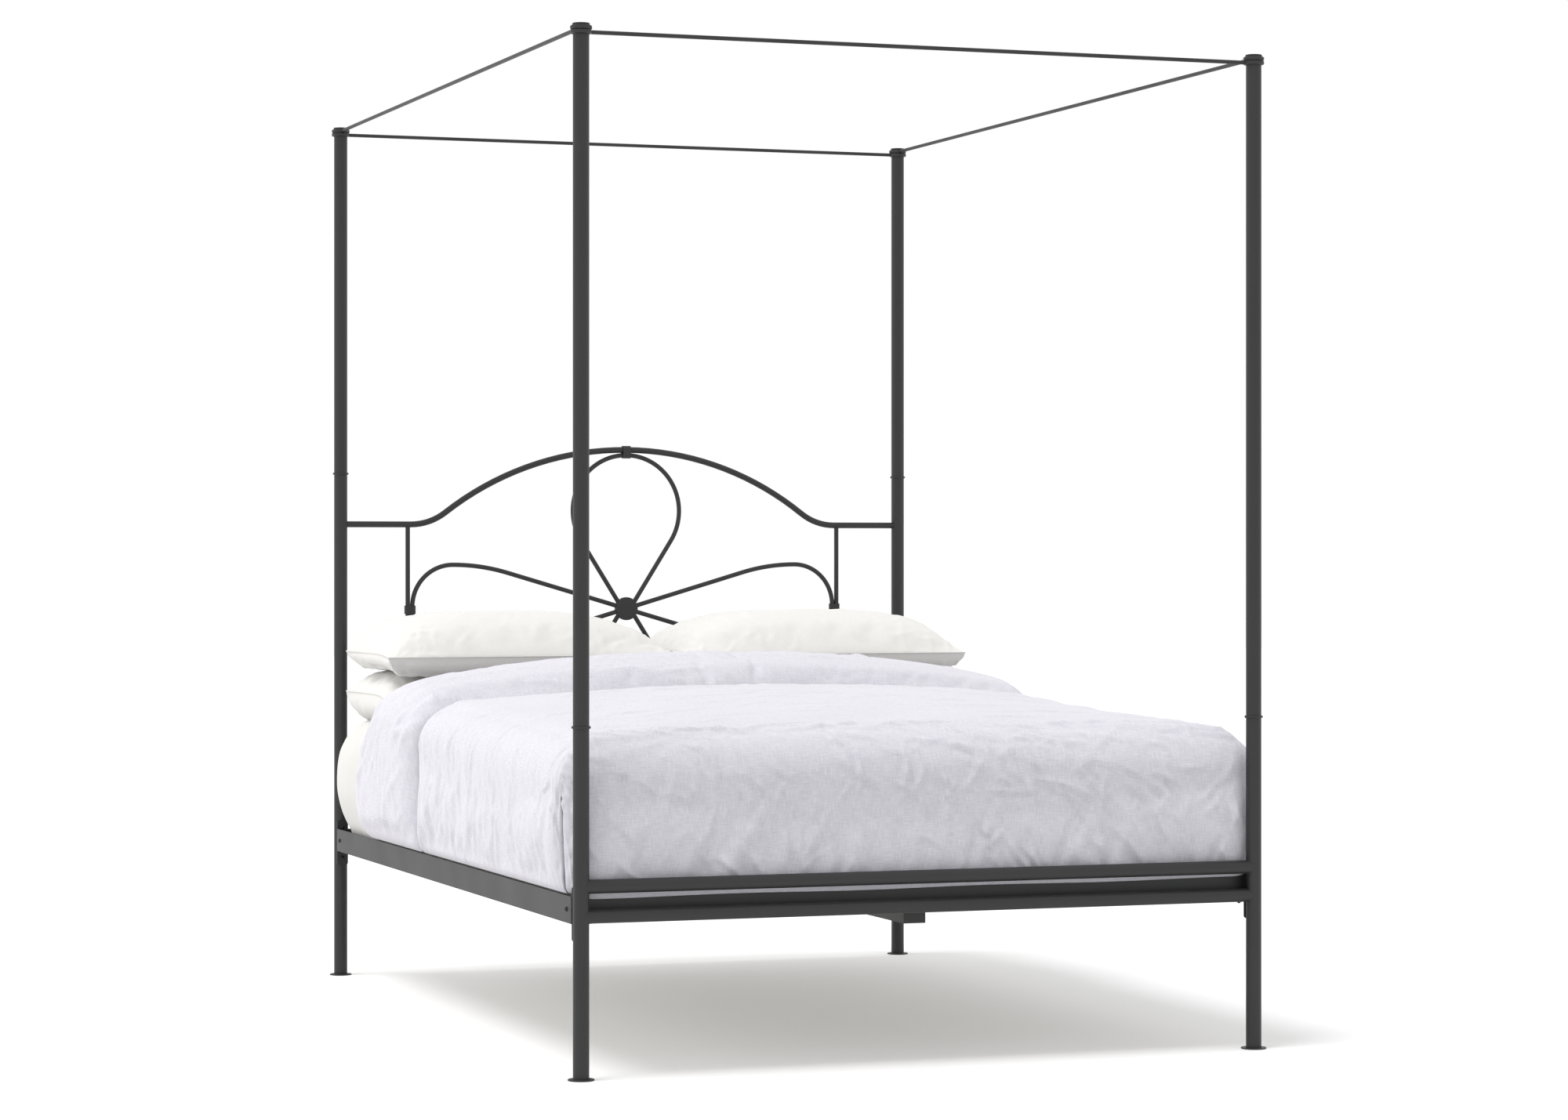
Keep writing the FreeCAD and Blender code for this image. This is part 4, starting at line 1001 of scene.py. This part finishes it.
def make_pillow(node, seam_share, front_sag, under_sag, seed):
    low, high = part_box(node)
    name = node.replace("pillow", "feather_pillow")
    pillow, loop = filled_pillow(name, Vector(low), Vector(high), seam_share, front_sag, under_sag)
    inflate(pillow, loop, pressure=3.0, spare=0.03, cap=0.010, bending=0.05)
    seam_places = coordinates_of(pillow.data)[loop]
    subdivide(pillow)
    half_width, half_depth = PANEL[0] / 2, PANEL[1] / 2
    width = (-half_width, half_width)
    depth = (-half_depth, half_depth)
    crumple(pillow, (
        dict(
            count=26, across=width, along=depth, slant=(80, 30),
            length=(0.06, 0.20), width=(0.006, 0.011), height=(0.0012, 0.003),
        ),
        dict(
            count=26, across=width, along=(-half_depth, -half_depth * FRONT_BAND), slant=(75, 25),
            length=(0.03, 0.11), width=(0.005, 0.008), height=(0.0015, 0.0032),
        ),
        dict(
            count=16, across=(-half_width, -half_width * END_BAND), along=depth, slant=(20, 30),
            length=(0.05, 0.14), width=(0.006, 0.010), height=(0.0015, 0.0035),
        ),
        dict(
            count=16, across=(half_width * END_BAND, half_width), along=depth, slant=(-20, 30),
            length=(0.05, 0.14), width=(0.006, 0.010), height=(0.0015, 0.0035),
        ),
    ), PILLOW_WAVE, seed)
    dress(pillow, cotton_sateen)
    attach(pillow, node)
    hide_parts(node)
    seam = add_seam(name + "_seam", seam_places)
    dress(seam, cotton_sateen)
    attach(seam, node)


for side, seed in (("left", 3), ("right", 13)):
    make_pillow("pillow_lower_" + side, seam_share=0.58, front_sag=0.018, under_sag=0.0, seed=seed)
for side, seed in (("left", 23), ("right", 33)):
    make_pillow("pillow_upper_" + side, seam_share=0.33, front_sag=0.006, under_sag=0.014, seed=seed)

# Studio: a plain white floor with a little painted glow, soft light from above, a softbox at the back left,
# and white walls all round.
# The camera stands where the photograph was taken from, level, a little to the left of the foot.
FLOOR_WHITE = "#cccccc"
# Painted light: the floor's own glow, which brightens its shadows and the bed above it.
FLOOR_PAINTED_GLOW = 0.25
FLOOR_SIZE = 60.0
WALL_STRENGTH = 1.0
SKY_POWER = 2.2
SKY_SPREAD = math.radians(28)
SKY_PLACE = (-2.4, -0.48, 6.0)
BOX_POWER = 150.0
BOX_SIZE = 5.0
BOX_PLACE = (-7.0, 3.4, 3.2)
LIGHTS_AIM = (0.0, 0.0, 0.6)
CAMERA_PLACE = (-3.0694, -8.7086, 1.0811)
CAMERA_TURN = math.radians(19.755)
CAMERA_SENSOR = 36.0
CAMERA_LENS = 90.045
CAMERA_SHIFT = -0.00665

bpy.ops.mesh.primitive_plane_add(size=FLOOR_SIZE)
floor = bpy.context.object
floor.name = "studio_floor"
# Matt white studio paint, with painted light on top: the floor gives off a glow of its own that lifts the
# shadow under the bed and lights the bed's underside. The eye gets a floor that runs into the walls.
white_paint, tree = empty_material("matt_white_floor")
shader = add(tree, "BsdfPrincipled", {
    "Base Color": linear(FLOOR_WHITE), "Roughness": 0.9, "Specular IOR Level": 0.1,
    "Emission Color": linear("#ffffff"), "Emission Strength": FLOOR_PAINTED_GLOW,
})
add(tree, "OutputMaterial", links={"Surface": shader.outputs["BSDF"]})
dress(floor, white_paint)

world = bpy.data.worlds.new("white_walls")
world.use_nodes = True
world.node_tree.nodes["Background"].inputs["Color"].default_value = linear("#ffffff")
world.node_tree.nodes["Background"].inputs["Strength"].default_value = WALL_STRENGTH
bpy.context.scene.world = world
bpy.context.scene.view_settings.view_transform = "Standard"


def studio_light(name, kind, place, power):
    """A light that looks from its place towards the middle of the bed."""
    lamp = bpy.data.lights.new(name, kind)
    lamp.energy = power
    obj = bpy.data.objects.new(name, lamp)
    obj.location = place
    obj.rotation_euler = (Vector(LIGHTS_AIM) - Vector(place)).to_track_quat("-Z", "Y").to_euler()
    obj.visible_glossy = False
    bpy.context.scene.collection.objects.link(obj)
    return lamp


studio_light("ceiling_light", "SUN", SKY_PLACE, SKY_POWER).angle = SKY_SPREAD
studio_light("softbox", "AREA", BOX_PLACE, BOX_POWER).size = BOX_SIZE

camera_data = bpy.data.cameras.new("camera")
camera_data.sensor_width = CAMERA_SENSOR
camera_data.lens = CAMERA_LENS
camera_data.shift_y = CAMERA_SHIFT
camera = bpy.data.objects.new("camera", camera_data)
camera.location = CAMERA_PLACE
camera.rotation_euler = (math.radians(90), 0.0, -CAMERA_TURN)
bpy.context.scene.collection.objects.link(camera)
bpy.context.scene.camera = camera
